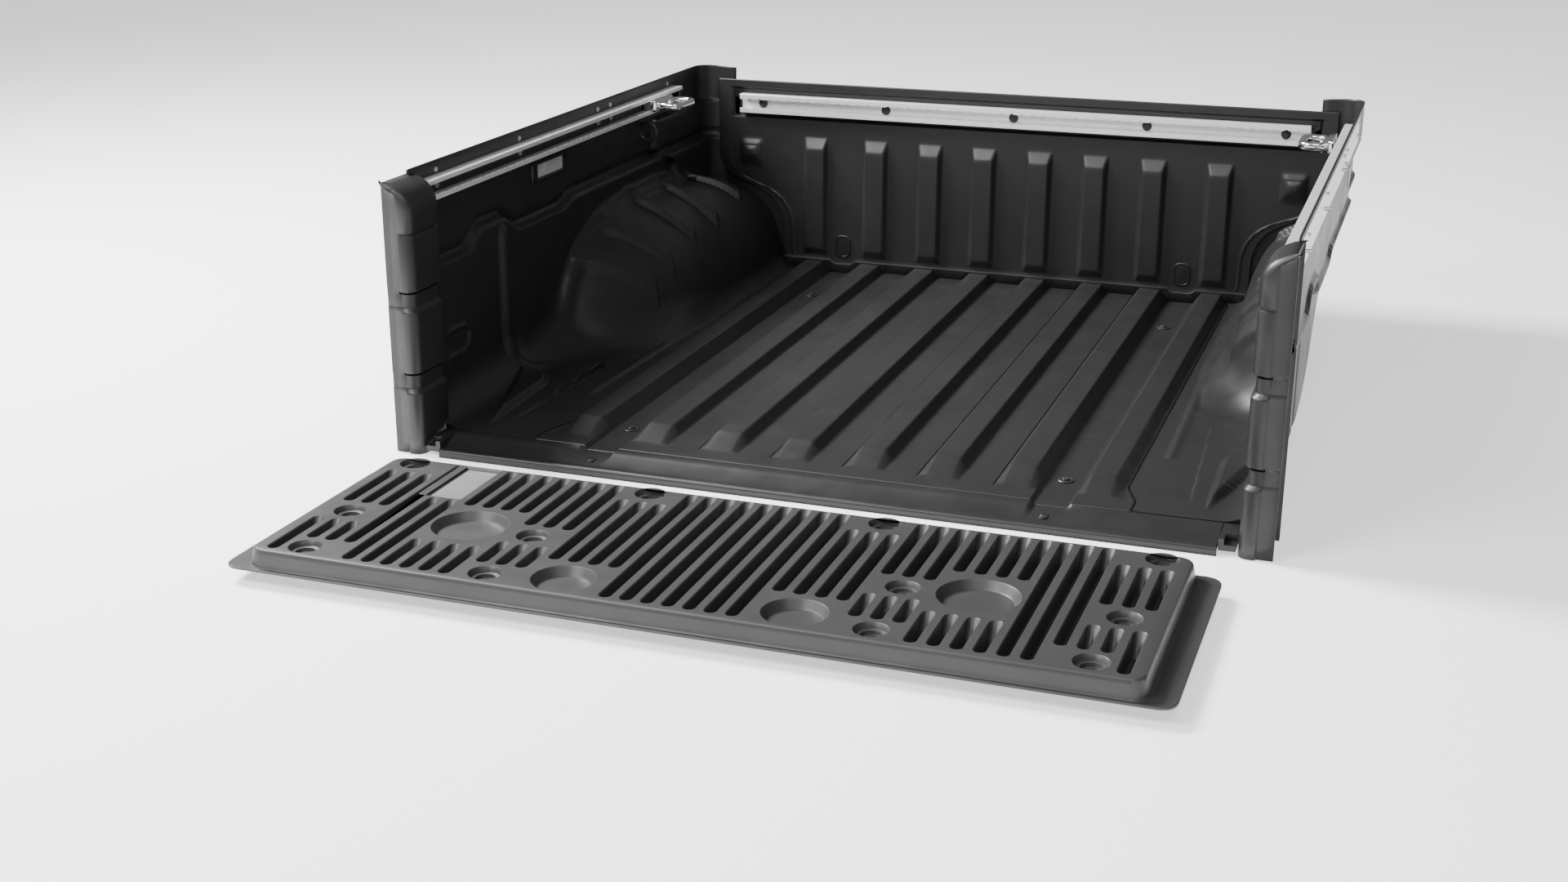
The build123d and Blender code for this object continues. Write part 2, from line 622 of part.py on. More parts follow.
def make_end_stop(y0):
    """Block that closes the channel's end so that the cleat can't run out."""
    x1 = UPPER_WALL_X - RAIL_WALL - 0.2
    z0 = SIDE_RAIL_Z + RAIL_WALL + 0.2
    return block(UPPER_WALL_X - 25, x1, y0, y0 + END_STOP_LENGTH, z0, SIDE_RAIL_Z + 31.8)


# ---- cleat ----
CLEAT_FACE = UPPER_WALL_X - 37.0   # outer side of the cleat's foot, clear of the rail's lips


def make_cleat_loop():
    """Cast loop with its foot, on the right-hand rail."""
    foot = block(CLEAT_FACE - 12, CLEAT_FACE, CLEAT_Y - 52, CLEAT_Y + 52, CLEAT_Z - 14, CLEAT_Z + 14)
    middle = CLEAT_FACE - CLEAT_REACH
    ring = extrude(Pos(middle, CLEAT_Y, CLEAT_Z - 9) * RectangleRounded(*CLEAT_RING, 28), amount=18)
    ring -= extrude(Pos(middle, CLEAT_Y, CLEAT_Z - 12) * RectangleRounded(*CLEAT_EYE, 15), amount=24)
    neck_z = CLEAT_Z - 5.5
    neck = block(CLEAT_FACE - 1, CLEAT_FACE + 12, CLEAT_Y - 24, CLEAT_Y + 24, neck_z, neck_z + 11)
    loop = foot + ring + neck
    loop -= post_x(9.5, CLEAT_FACE - 30, CLEAT_FACE - 8, CLEAT_Y, CLEAT_Z)
    loop -= post_x(CLEAT_BOLT_HOLE, CLEAT_FACE - 30, CLEAT_FACE + 20, CLEAT_Y, CLEAT_Z)
    return loop


def make_cleat_nut():
    low = CLEAT_Z - 13.5
    nut = block(CLEAT_FACE + 12, CLEAT_FACE + 29, CLEAT_Y - 30, CLEAT_Y + 30, low, low + 25)
    return nut - post_x(4.05, CLEAT_FACE + 10, CLEAT_FACE + 30, CLEAT_Y, CLEAT_Z)


def make_cleat_bolt():
    """Clamp bolt with a round knurled head, screwed into the nut."""
    head = post_x(8.5, CLEAT_FACE - 17, CLEAT_FACE - 8.2, CLEAT_Y, CLEAT_Z)
    head -= Pos(CLEAT_FACE - 17, CLEAT_Y, CLEAT_Z) * Box(5, 12, 2.4)
    return head + post_x(4.0, CLEAT_FACE - 9, CLEAT_FACE + 28, CLEAT_Y, CLEAT_Z)


# ---- bed lamp, left side only ----
def make_lamp_bezel():
    """Frame on the left upper wall around the lamp's lens (drawn on the left, x < 0)."""
    y0, y1 = LAMP_Y
    z0, z1 = LAMP_Z
    wall = -UPPER_WALL_X
    frame = block(wall, wall + 4, y0 - 22, y1 + 22, z0 - 5, z1 + 5)
    frame -= block(wall - 1, wall + 5, y0, y1, z0, z1)
    for y in lamp_screw_places():
        frame -= post_x(LAMP_SCREW_HOLE, wall - 1, wall + 5, y, sum(LAMP_Z) / 2)
    return frame


def lamp_screw_places():
    return [LAMP_Y[0] - 12, LAMP_Y[1] + 12]


def make_lamp_lens():
    wall = -UPPER_WALL_X
    gap = 0.4
    y0, y1 = LAMP_Y
    z0, z1 = LAMP_Z
    return block(wall - 4.5, wall + 6, y0 + gap, y1 - gap, z0 + gap, z1 - gap)


def make_lamp_screw(y):
    wall = -UPPER_WALL_X
    z = sum(LAMP_Z) / 2
    return post_x(3.2, wall + 4, wall + 6, y, z) + post_x(1.6, wall - 4, wall + 4, y, z)


# ---- tie hook and liner clips ----
def make_tie_hook():
    """Closed wire hook on a small plate below the right-hand rail."""
    plate = block(UPPER_WALL_X - 4, UPPER_WALL_X, 1020, 1080, 376, 412)
    loop = Pos(UPPER_WALL_X - 22, 1050, 388) * Rot(90, 0, 0) * Torus(20, 4.5)
    return plate + loop & block(UPPER_WALL_X - 60, UPPER_WALL_X, 1000, 1100, 340, 430)


def wheelhouse_top(y):
    """Height of the wheelhouse at the clips."""
    return wheel_height(y, WALL_X - CLIP_X)


def make_liner_clip(y):
    """Round push clip on the top of the right-hand wheelhouse."""
    top = wheelhouse_top(y)
    head = post_z(CLIP_HEAD, CLIP_X, y, top + 5, top + 8)
    return head + post_z(CLIP_SHANK, CLIP_X, y, top - SHEET - 6, top + 6)


def build_all():
    os.makedirs("parts", exist_ok=True)
    save("floor_panel", make_floor_panel())
    save("floor_washers", *[cup_washer(x, y, 0) for x, y in floor_screw_places()])
    grip = WASHER_HEIGHT + SHEET + 0.5
    reach = grip + FLOOR_SCREW_REACH
    floor_screws = [pan_screw(x, y, WASHER_HEIGHT, 7.5, grip, reach) for x, y in floor_screw_places()]
    save("floor_screws", *floor_screws)

    right_liner = make_side_liner()
    lamp_hole = block(-UPPER_WALL_X - 10, -UPPER_WALL_X + 5, *LAMP_Y, *LAMP_Z)
    for y in SIDE_RAIL_BOLTS:
        right_liner -= post_x(SCREW_HOLE, UPPER_WALL_X - 5, UPPER_WALL_X + 20, y, SIDE_BOLT_Z)
        right_liner -= post_x(RIVET_HOLE, UPPER_WALL_X - 5, UPPER_WALL_X + 20, y, RIVET_Z)
    left_liner = mirror_x(right_liner) - lamp_hole
    for y in lamp_screw_places():
        left_liner -= post_x(LAMP_SCREW_HOLE, -UPPER_WALL_X - 10, -UPPER_WALL_X + 1, y, sum(LAMP_Z) / 2)
    save("right_side_liner", right_liner)
    save("left_side_liner", left_liner)

    for name, shapes in paired_pieces().items():
        save("right_" + name, *shapes)
        save("left_" + name, *[mirror_x(shape) for shape in shapes])

    save("sill_strip", make_sill_strip())
    sill_places = (-CHANNEL_X, CHANNEL_X)
    save("sill_screws", *[pan_screw(x, SILL_SCREW_Y, SILL_SCREW_SEAT, 8, SHEET + 1, 12) for x in sill_places])

    save("tailgate_panel", make_tailgate_panel())
    seat = GATE_TOP - GROOVE_DEPTH
    grip = GATE_PLATE - GROOVE_DEPTH + 0.5
    reach = seat - GATE_BOTTOM + GATE_SCREW_REACH
    save("tailgate_screws", *[pan_screw(x, y, seat, 8, grip, reach) for x, y in gate_screw_places()])
    (x0, x1), (y0, y1) = POCKET_X, POCKET_Y
    plate_z = GATE_TOP - POCKET_DEPTH
    save("tailgate_pocket_plate", block(x0 + 0.5, x1 - 0.5, y0 + 0.5, y1 - 0.5, plate_z, plate_z + 3))

    save("front_panel", make_front_panel())
    save("front_plugs", make_front_plug(-PLUG_X), make_front_plug(PLUG_X))
    save("front_rail", make_front_rail())
    save("front_rail_bolts", *[make_front_bolt(x) for x in front_bolt_places()])

    save("lamp_bezel", make_lamp_bezel())
    save("lamp_lens", make_lamp_lens())
    save("lamp_screws", *[make_lamp_screw(y) for y in lamp_screw_places()])


def make_front_bolt(x):
    z = sum(FRONT_RAIL_Z) / 2
    seat = FRONT_RAIL_BACK - RAIL_WALL
    shank_end = FRONT_RAIL_BACK + SHEET + 0.5
    shank = post_y(SCREW_SHANK, x, seat, shank_end, z)
    thread = post_y(SCREW_THREAD, x, shank_end, FRONT_BOLT_END, z)
    return post_y(FRONT_BOLT_HEAD, x, seat - 5, seat, z) + shank + thread


def paired_pieces():
    """Pieces that exist on both sides, drawn on the right."""
    joint = SIDE_RAIL_JOINT
    return {
        "post_cover": [make_post_cover()],
        "sill_end": [make_sill_end()],
        "rail_rear": [make_side_rail(SIDE_RAIL_Y[0], joint - 0.5)],
        "rail_front": [make_side_rail(joint + 0.5, SIDE_RAIL_Y[1])],
        "rail_bolts": [make_rail_bolt(y) for y in SIDE_RAIL_BOLTS],
        "rail_rivets": [make_flange_rivet(y) for y in SIDE_RAIL_BOLTS],
        "rail_end_stops": [make_end_stop(SIDE_RAIL_Y[0]), make_end_stop(SIDE_RAIL_Y[1] - END_STOP_LENGTH)],
        "cleat_loop": [make_cleat_loop()],
        "cleat_nut": [make_cleat_nut()],
        "cleat_bolt": [make_cleat_bolt()],
        "tie_hook": [make_tie_hook()],
        "liner_clips": [make_liner_clip(y) for y in CLIP_Y],
    }


build_all()
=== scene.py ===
import json
import math

import bmesh
import bpy
import numpy as np
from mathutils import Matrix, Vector


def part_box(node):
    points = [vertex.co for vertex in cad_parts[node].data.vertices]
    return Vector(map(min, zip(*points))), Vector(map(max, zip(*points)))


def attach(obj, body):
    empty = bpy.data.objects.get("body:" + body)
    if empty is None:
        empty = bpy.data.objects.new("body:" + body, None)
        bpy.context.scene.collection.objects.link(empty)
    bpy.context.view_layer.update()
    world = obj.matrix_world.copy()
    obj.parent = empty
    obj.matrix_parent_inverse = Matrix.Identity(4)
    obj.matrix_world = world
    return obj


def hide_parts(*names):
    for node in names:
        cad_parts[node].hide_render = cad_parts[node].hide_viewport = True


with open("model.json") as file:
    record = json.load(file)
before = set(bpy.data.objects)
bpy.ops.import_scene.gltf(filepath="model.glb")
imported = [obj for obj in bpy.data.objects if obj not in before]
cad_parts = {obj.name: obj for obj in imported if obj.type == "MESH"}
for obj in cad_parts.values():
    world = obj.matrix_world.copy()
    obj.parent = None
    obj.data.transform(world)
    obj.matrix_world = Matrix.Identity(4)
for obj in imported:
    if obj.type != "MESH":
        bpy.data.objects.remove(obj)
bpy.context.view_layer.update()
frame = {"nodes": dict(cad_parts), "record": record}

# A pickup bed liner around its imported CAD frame.
# Shapes are worked out in millimetres of the liner's modelling datum: x = 0 on the centreline, y = 0 at the
# rear seam of the floor panel, z = 0 on the floor of the screw channels. datum_to_row() turns them into
# metres. Side liners, posts, rails and cleats are drawn for the right and mirrored for the left.
MM = 0.001
SHEET = 5.0                # of the floor panel
THIN_SHEET = 4.0           # of the other panels
SEAM_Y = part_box("floor_panel")[0].y
DECK_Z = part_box("floor_panel")[0].z + SHEET * MM

VALLEY_Z = 8.0
RIDGE_Z = 27.0
BED_LENGTH = 1420.0        # from the floor's rear seam to the front panel
MARGIN = 46.0              # flat strip along the rear seam
RIDGE_RAMP = 65.0          # length over which the ridges rise from it
CHANNEL_X = 414.0
SIDES = (("left", -1), ("right", 1))


def datum_to_row(points):
    """Millimetres of the modelling datum to metres of the row frame."""
    placed = np.asarray(points, float) * MM
    placed[:, 1] += SEAM_Y
    placed[:, 2] += DECK_Z
    return placed


# ---------------------------------------------------------------- materials
def noise(tree, coords, scale, detail):
    node = tree.nodes.new("ShaderNodeTexNoise")
    node.inputs["Scale"].default_value = scale
    node.inputs["Detail"].default_value = detail
    tree.links.new(coords, node.inputs["Vector"])
    return node.outputs["Fac"]


def remap(tree, value, low, high):
    """Noise stretched to run from low to high."""
    node = tree.nodes.new("ShaderNodeMapRange")
    node.inputs["From Min"].default_value = 0.3
    node.inputs["From Max"].default_value = 0.7
    node.inputs["To Min"].default_value = low
    node.inputs["To Max"].default_value = high
    tree.links.new(value, node.inputs["Value"])
    return node.outputs["Result"]


def blend_colour(tree, factor, low, high):
    node = tree.nodes.new("ShaderNodeMix")
    node.data_type = "RGBA"
    node.inputs["A"].default_value = (*low, 1)
    node.inputs["B"].default_value = (*high, 1)
    tree.links.new(factor, node.inputs["Factor"])
    return node.outputs["Result"]


def two_tones(tree, shader, patches, colour, dark, light):
    """Base colour that wanders between two shades of one colour."""
    shades = [[channel * tone for channel in colour] for tone in (dark, light)]
    tree.links.new(blend_colour(tree, remap(tree, patches, 0, 1), *shades), shader.inputs["Base Color"])


def add_bump(tree, height, distance, strength, below=None):
    node = tree.nodes.new("ShaderNodeBump")
    node.inputs["Distance"].default_value = distance
    node.inputs["Strength"].default_value = strength
    tree.links.new(height, node.inputs["Height"])
    if below is not None:
        tree.links.new(below, node.inputs["Normal"])
    return node.outputs["Normal"]


def base_material(name):
    """A new Principled material with its node tree, its shader and its object coordinates."""
    material = bpy.data.materials.new(name)
    material.use_nodes = True
    tree = material.node_tree
    coords = tree.nodes.new("ShaderNodeTexCoord").outputs["Object"]
    return material, tree, tree.nodes["Principled BSDF"], coords


def moulded_plastic(name, colour, grain=0.00012, rough=(0.36, 0.46), contrast=0.1):
    """Grained polyethylene: fine pebbled bump, faint mottling and uneven gloss."""
    material, tree, shader, coords = base_material(name)
    patches = noise(tree, coords, 5.0, 4.0)
    two_tones(tree, shader, patches, colour, 1 - contrast, 1 + contrast)
    haze = noise(tree, coords, 16.0, 6.0)
    tree.links.new(remap(tree, haze, *rough), shader.inputs["Roughness"])
    pebble = noise(tree, coords, 900.0, 2.0)
    waviness = noise(tree, coords, 12.0, 2.0)
    soft = add_bump(tree, waviness, 0.0012, 0.25)
    tree.links.new(add_bump(tree, pebble, grain, 0.6, soft), shader.inputs["Normal"])
    shader.inputs["Specular IOR Level"].default_value = 0.45
    return material


def worked_metal(name, colour, rough, bump=0.00004, metallic=1.0):
    """Metal with a fine drawn or cast texture."""
    material, tree, shader, coords = base_material(name)
    streaks = noise(tree, coords, 60.0, 5.0)
    two_tones(tree, shader, streaks, colour, 0.93, 1)
    tree.links.new(remap(tree, streaks, *rough), shader.inputs["Roughness"])
    fine = noise(tree, coords, 700.0, 3.0)
    tree.links.new(add_bump(tree, fine, bump, 0.5), shader.inputs["Normal"])
    shader.inputs["Metallic"].default_value = metallic
    return material


def lens_material(name):
    """Frosted lamp lens with fine vertical prisms."""
    material, tree, shader, coords = base_material(name)
    wave = tree.nodes.new("ShaderNodeTexWave")
    wave.bands_direction = "Y"
    wave.inputs["Scale"].default_value = 60.0
    tree.links.new(coords, wave.inputs["Vector"])
    cloud = noise(tree, coords, 30.0, 3.0)
    frosting = blend_colour(tree, cloud, (0.42, 0.42, 0.42), (0.62, 0.62, 0.62))
    tree.links.new(frosting, shader.inputs["Base Color"])
    tree.links.new(add_bump(tree, wave.outputs["Fac"], 0.0004, 0.5), shader.inputs["Normal"])
    tree.links.new(remap(tree, cloud, 0.18, 0.3), shader.inputs["Roughness"])
    return material


MATERIALS = {
    "liner_plastic": moulded_plastic("liner_plastic", (0.014, 0.0142, 0.0146)),
    "tailgate_plastic": moulded_plastic("tailgate_plastic", (0.036, 0.0364, 0.0375), rough=(0.38, 0.48)),
    "grey_plate": moulded_plastic("grey_plate", (0.16, 0.16, 0.163), grain=0.0001, contrast=0.08),
    "black_steel": moulded_plastic("black_steel", (0.022, 0.022, 0.023), grain=0.00004, rough=(0.25, 0.4)),
    "black_trim": moulded_plastic("black_trim", (0.010, 0.010, 0.011), grain=0.00006, rough=(0.3, 0.45)),
    "rail_aluminium": worked_metal("rail_aluminium", (0.86, 0.865, 0.87), rough=(0.3, 0.38), bump=0.0,
                                   metallic=0.45),
    "zinc_steel": worked_metal("zinc_steel", (0.62, 0.62, 0.61), rough=(0.25, 0.4)),
    "cast_alloy": worked_metal("cast_alloy", (0.88, 0.88, 0.89), rough=(0.1, 0.22), bump=0.0001),
    "lamp_lens": lens_material("lamp_lens"),
}


# ---------------------------------------------------------------- mesh helpers
def weld(mesh):
    """Merge the corners that neighbouring shapes of one mesh share."""
    sheet = bmesh.new()
    sheet.from_mesh(mesh)
    bmesh.ops.remove_doubles(sheet, verts=sheet.verts[:], dist=0.02 * MM)
    sheet.to_mesh(mesh)
    sheet.free()


def add_object(name, data):
    added = bpy.data.objects.new(name, data)
    bpy.context.scene.collection.objects.link(added)
    return added


def make_piece(name, shape, body, slot_name, replaced=(), sharp=32, thickness=0.0):
    """One object from (points, faces) in datum millimetres; thickness gives an open sheet its back."""
    points, faces = shape
    mesh = bpy.data.meshes.new(name)
    mesh.from_pydata(datum_to_row(points).tolist(), [], faces)
    mesh.validate()
    weld(mesh)
    mesh.shade_smooth()
    mesh.set_sharp_from_angle(angle=math.radians(sharp))
    mesh.materials.append(MATERIALS[slot_name])
    piece = add_object(name, mesh)
    if thickness:
        solidify = piece.modifiers.new("sheet", "SOLIDIFY")
        solidify.thickness = thickness * MM
        solidify.offset = -1
    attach(piece, body)
    if replaced:
        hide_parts(*replaced)


def join(*shapes):
    """Several (points, faces) shapes as one."""
    points = []
    faces = []
    for shape_points, shape_faces in shapes:
        start = len(points)
        points += [tuple(point) for point in shape_points]
        faces += [tuple(index + start for index in face) for face in shape_faces]
    return points, faces


def mirrored(shape, side):
    """The shape as drawn for the right, or its mirror image for the left."""
    if side > 0:
        return shape
    points, faces = shape
    return [(-x, y, z) for x, y, z in points], [tuple(reversed(face)) for face in faces]


def make_pair(part, ending, shape, slot_name, sharp, thickness=0.0):
    """The right-hand shape and its mirror image, each in place of its own side's node."""
    for name, side in SIDES:
        node = f"{name}_{part}"
        make_piece(f"{node}_{ending}", mirrored(shape, side), "bed", slot_name, (node,), sharp, thickness)


def grid(points, flip=False):
    """(points, faces) from an array of rows x columns x 3."""
    rows, columns = points.shape[:2]
    faces = []
    for row in range(rows - 1):
        for column in range(columns - 1):
            a = row * columns + column
            face = (a, a + 1, a + columns + 1, a + columns)
            faces.append(face[::-1] if flip else face)
    return points.reshape(-1, 3).tolist(), faces


def cross_row(across, y, z):
    """One row of a grid, all at the same y."""
    return np.stack(np.broadcast_arrays(across, y, z), axis=1)


def stack(rings, cap_first=True, cap_last=True):
    """Closed rings of equal length bridged in order, with flat caps."""
    count = len(rings[0])
    points = [point for ring in rings for point in ring]
    faces = []
    for level in range(len(rings) - 1):
        for index in range(count):
            step = (index + 1) % count
            a = level * count
            faces.append((a + index, a + step, a + count + step, a + count + index))
    if cap_first:
        faces.append(tuple(range(count))[::-1])
    if cap_last:
        last = (len(rings) - 1) * count
        faces.append(tuple(range(last, last + count)))
    return points, faces


LATHE_ORDER = {"x": (2, 0, 1), "y": (1, 2, 0), "z": (0, 1, 2)}


def lathe(profile, centre, axis, segments, lobes=()):
    """Rings from (radius, height) pairs about an axis; the pairs listed in lobes are six-lobed."""
    rings = []
    for index, (radius, height) in enumerate(profile):
        ring = []
        for step in range(segments):
            turn = 2 * math.pi * step / segments
            reach = radius * (1 + 0.22 * math.cos(6 * turn)) if index in lobes else radius
            turned = (reach * math.cos(turn), reach * math.sin(turn), height)
            ring.append(tuple(middle + turned[part] for middle, part in zip(centre, LATHE_ORDER[axis])))
        rings.append(ring)
    return stack(rings)


def rounded_loop(corners, radius, segments=5):
    """Closed 2-D outline with each corner rounded."""
    loop = []
    count = len(corners)
    for index, corner in enumerate(corners):
        here = Vector(corner)
        before = Vector(corners[index - 1]) - here
        after = Vector(corners[(index + 1) % count]) - here
        half_angle = before.angle(after) / 2
        reach = min(radius / math.tan(half_angle), before.length * 0.49, after.length * 0.49)
        start = here + before.normalized() * reach
        end = here + after.normalized() * reach
        for step in range(segments + 1):
            share = step / segments
            loop.append(tuple(start * (1 - share) ** 2 + here * 2 * share * (1 - share) + end * share ** 2))
    return loop


def rectangle(x0, x1, y0, y1):
    return [(x0, y0), (x1, y0), (x1, y1), (x0, y1)]


def grown(across, along, past_sides, past_ends):
    """Rectangle over two (low, high) spans, larger by that much on each side."""
    (x0, x1), (y0, y1) = across, along
    return rectangle(x0 - past_sides, x1 + past_sides, y0 - past_ends, y1 + past_ends)


def at_height(loop, z):
    return [(x, y, z) for x, y in loop]


CLOSEST_LINES = 0.4


def stations(edges, spacing, near=(-3.0, -1.5, 0.0, 1.5, 3.0)):
    """Sorted places with extra lines around each edge and none further apart than spacing."""
    marks = sorted({round(edge + offset, 3) for edge in edges for offset in near})
    placed = [marks[0]]
    for mark in marks[1:]:
        gap = mark - placed[-1]
        if gap < CLOSEST_LINES:
            continue
        parts = math.ceil(gap / spacing)
        for _ in range(1, parts):
            placed.append(placed[-1] + gap / parts)
        placed.append(mark)
    return np.array(placed)


def both_sides(right):
    return np.concatenate([-right[::-1], [0.0], right])


def ease(value):
    """0 below 0, 1 above 1, with a smooth rise between."""
    clipped = np.clip(value, 0, 1)
    return clipped * clipped * (3 - 2 * clipped)


def ramp(value, rounding=0.12):
    """0 below 0, 1 above 1, straight between, with short rounded ends."""
    low = np.clip((value + rounding) / (2 * rounding), 0, 1) ** 2 * rounding
    rise = np.where(value < rounding, low, value)
    from_top = 1 - rise
    high = 1 - np.clip((1 - value + rounding) / (2 * rounding), 0, 1) ** 2 * rounding
    return np.where(from_top < rounding, high, rise)


def smooth_min(a, b, reach):
    """The smaller of two values, rounded where they are less than reach apart."""
    share = np.clip(0.5 + 0.5 * (b - a) / reach, 0, 1)
    return b * (1 - share) + a * share - reach * share * (1 - share)


# ---------------------------------------------------------------- floor panel
RIDGES = ((68.5, 74.0), (205.5, 74.0), (342.5, 74.0), (484.5, 71.0))   # centre, foot width
RIDGE_FLANK = 14.0
RIDGE_CORNER = 0.35        # how round the ridges' rear corners are
CHANNEL_HALF = 29.0
CHANNEL_FLARE = 6.0
CREASE_DEPTH = 3.0         # of the line at each ridge's left foot
CREASE_HALF = 1.6
CREASE_SET_OUT = 1.5
CREASE_START = 4.0
FLOOR_EDGE = 526.0
TAB_EDGE = 550.0
TAB_START = 30.0           # past the outer ridge's centre


def floor_height(x, y):
    """Top of the floor panel at |x|, y."""
    across = np.abs(x)
    from_edge = CHANNEL_HALF + CHANNEL_FLARE - np.abs(across - CHANNEL_X)
    height = VALLEY_Z * (1 - ramp(from_edge / CHANNEL_FLARE))
    for centre, foot in RIDGES:
        side = (foot / 2 - np.abs(across - centre)) / RIDGE_FLANK
        rear = (y - MARGIN) / RIDGE_RAMP
        height = height + (RIDGE_Z - VALLEY_Z) * ramp(smooth_min(side, rear, RIDGE_CORNER))
        for sign in (-1, 1):
            foot_x = sign * centre - foot / 2
            crease = np.maximum(np.abs(x - foot_x + CREASE_SET_OUT), MARGIN + CREASE_START - y)
            height = height - CREASE_DEPTH * np.clip(1 - crease / CREASE_HALF, 0, 1)
    return height


def floor_edge(y):
    """|x| of the floor's side edge, wider at the tabs along the rear seam."""
    return TAB_EDGE + (FLOOR_EDGE - TAB_EDGE) * np.clip((y - MARGIN) / RIDGE_RAMP, 0, 1)


def build_floor():
    edges = [CHANNEL_X - CHANNEL_HALF - CHANNEL_FLARE, CHANNEL_X - CHANNEL_HALF,
             CHANNEL_X + CHANNEL_HALF, FLOOR_EDGE - 1.5]
    for centre, foot in RIDGES:
        edges += [centre - foot / 2, centre - foot / 2 + RIDGE_FLANK,
                  centre + foot / 2 - RIDGE_FLANK, centre + foot / 2]
    right = stations(edges, 16.0)
    right = right[right <= FLOOR_EDGE]
    across = both_sides(right)
    along = stations([3, MARGIN, MARGIN + RIDGE_RAMP, BED_LENGTH - 5], 60.0, (-6, -3, -1.5, 0, 1.5, 3, 6))
    along = np.concatenate([[0.0], along[along > 0.5]])
    x, y = np.meshgrid(across, along)
    z = floor_height(x, y)
    last_ridge = RIDGES[-1][0]
    outer = np.clip((np.abs(x) - last_ridge - TAB_START) / (FLOOR_EDGE - last_ridge - TAB_START), 0, 1)
    x = x + np.sign(x) * outer * (floor_edge(y) - FLOOR_EDGE)
    make_piece("floor_sheet", grid(np.dstack([x, y, z])), "bed", "liner_plastic", ("floor_panel",), 40, SHEET)


# ---------------------------------------------------------------- side liners
WALL_X = 770.0
UPPER_X = 788.0
GROOVE_X = 790.0           # bottom of the groove between the lower and the upper wall
UPPER_WALL = 783.0
WALL_TOP = 492.0
COVE = 75.0
LINER_REAR = 1.0
SEAM_LAP = 12.0            # the side liner's edge reaches this far under the floor panel
SEAM_DROP = 7.5
HEM_DROP = 14.0
LINER_FRONT = 1430.0
FRONT_CORNER = 45.0
CREST_LINE = ((22, 293), (195, 293), (245, 330), (350, 330), (400, 293), (615, 293), (660, 311), (1440, 311))
WHEEL_Y = 1050.0
WHEEL_TOP = 262.0
WHEEL_WIDTH = 198.0
WHEEL_REAR = 500.0
WHEEL_FALL = 66.0
STRAPS = (((770, 634), (620, 751)), ((770, 735), (620, 843)), ((770, 921), (629, 997)),
          ((770, 1091), (633, 1151)), ((770, 1250), (635, 1300)))
STRAP_HALF = 16.0
STRAP_RISE = 13.0
WHEEL_POWER = 1.3          # squareness of the wheelhouse's section
WHEEL_POWER_RISE = 2.7
WHEEL_TURN_Y = 1120.0
WHEEL_FLARE = 26.0         # spread at its foot
WHEEL_FLARE_TOP = 40.0
GUSSET_REAR = ((135, 1499), (186, 1243), (241, 1188), (292, 1183), (334, 1096), (407, 1106))
GUSSET_RISE = 13.0
GUSSET_Z = (135.0, 410.0)
WALL_BEAD = ((776, 325, 305), (776, 325, 95), (764, 330, 45), (742, 352, 18), (715, 392, 4), (690, 424, -2))
WALL_LOOP = ((771, 93, 164), (771, 158, 164), (771, 171, 152), (771, 171, 126), (771, 158, 114),
             (771, 93, 114))
FOOT_BEAD = ((571, 295, 3), (552, 1218, 3))
WEDGE = ((638, 54), (617, 459), (772, 386))            # inner edge, front corner, front edge at the wall
WEDGE_RISE = 15.0
PAD = ((669, 30), (662, 60), (661, 288), (688, 342), (746, 332), (702, 150))
PAD_RISE = 13.0
EYE_X = 450.0              # the side liner is found along rays from EYE_X, EYE_Z
EYE_Z = 470.0
RAY_SPAN = (0.15, 1.12)    # shares of the way to the plain wall section
RAY_STEPS = 44
RAY_HALVINGS = 14


def along_line(line, value):
    """Value read off a line of (place, height) points."""
    places, heights = zip(*line)
    return np.interp(value, places, heights)


def crest_height(y):
    """Height of the shelf's crest, with its corners rounded."""
    return sum(along_line(CREST_LINE, y + shift) for shift in (-16, -8, 0, 8, 16)) / 5


def wall_face(y, z):
    """|x| of the inner face of the side wall: the lower wall's lip, the groove above it, the upper wall."""
    above = z - crest_height(y)
    face = WALL_X + (GROOVE_X - WALL_X) * ease(above / 16) - (GROOVE_X - UPPER_WALL) * ease((above - 20) / 9)
    low, high = GUSSET_Z
    gusset = ease((y - along_line(GUSSET_REAR, z)) / 14) * ease((z - low) / 12) * ease((high - z) / 8)
    face = face - GUSSET_RISE * gusset
    left = np.clip(LINER_FRONT - y, 0, FRONT_CORNER)
    return face - FRONT_CORNER + np.sqrt(FRONT_CORNER ** 2 - (FRONT_CORNER - left) ** 2)


def wheel_power(y):
    """How square the wheelhouse's section is: round over the wheel, boxier towards the front wall."""
    return WHEEL_POWER + WHEEL_POWER_RISE * ease((y - WHEEL_TURN_Y) / (BED_LENGTH - WHEEL_TURN_Y))


def wheel_shape(y):
    """Share of the full width and the height of the wheelhouse at y."""
    left = 1 - np.clip((WHEEL_Y - y) / WHEEL_REAR, 0, 1) ** 3.2
    ahead = np.clip((y - WHEEL_Y) / (BED_LENGTH - WHEEL_Y), 0, None)
    return np.maximum(left, 0) ** 0.77, WHEEL_TOP * np.sqrt(np.maximum(left, 0)) - WHEEL_FALL * ahead ** 2


def segment_distance(point, start, end):
    """Distance from points (tuple of arrays) to a straight segment, and the share along it."""
    span = [e - s for s, e in zip(start, end)]
    length = sum(part * part for part in span)
    share = sum((p - s) * part for p, s, part in zip(point, start, span)) / length
    share = np.clip(share, 0, 1)
    gaps = [p - s - part * share for p, s, part in zip(point, start, span)]
    return np.sqrt(sum(gap * gap for gap in gaps)), share


def polyline_distance(point, line):
    """Distance from points (tuple of arrays) to the nearest segment of a line."""
    nearest = None
    for start, end in zip(line, line[1:]):
        distance, _ = segment_distance(point, start, end)
        nearest = distance if nearest is None else np.minimum(nearest, distance)
    return nearest


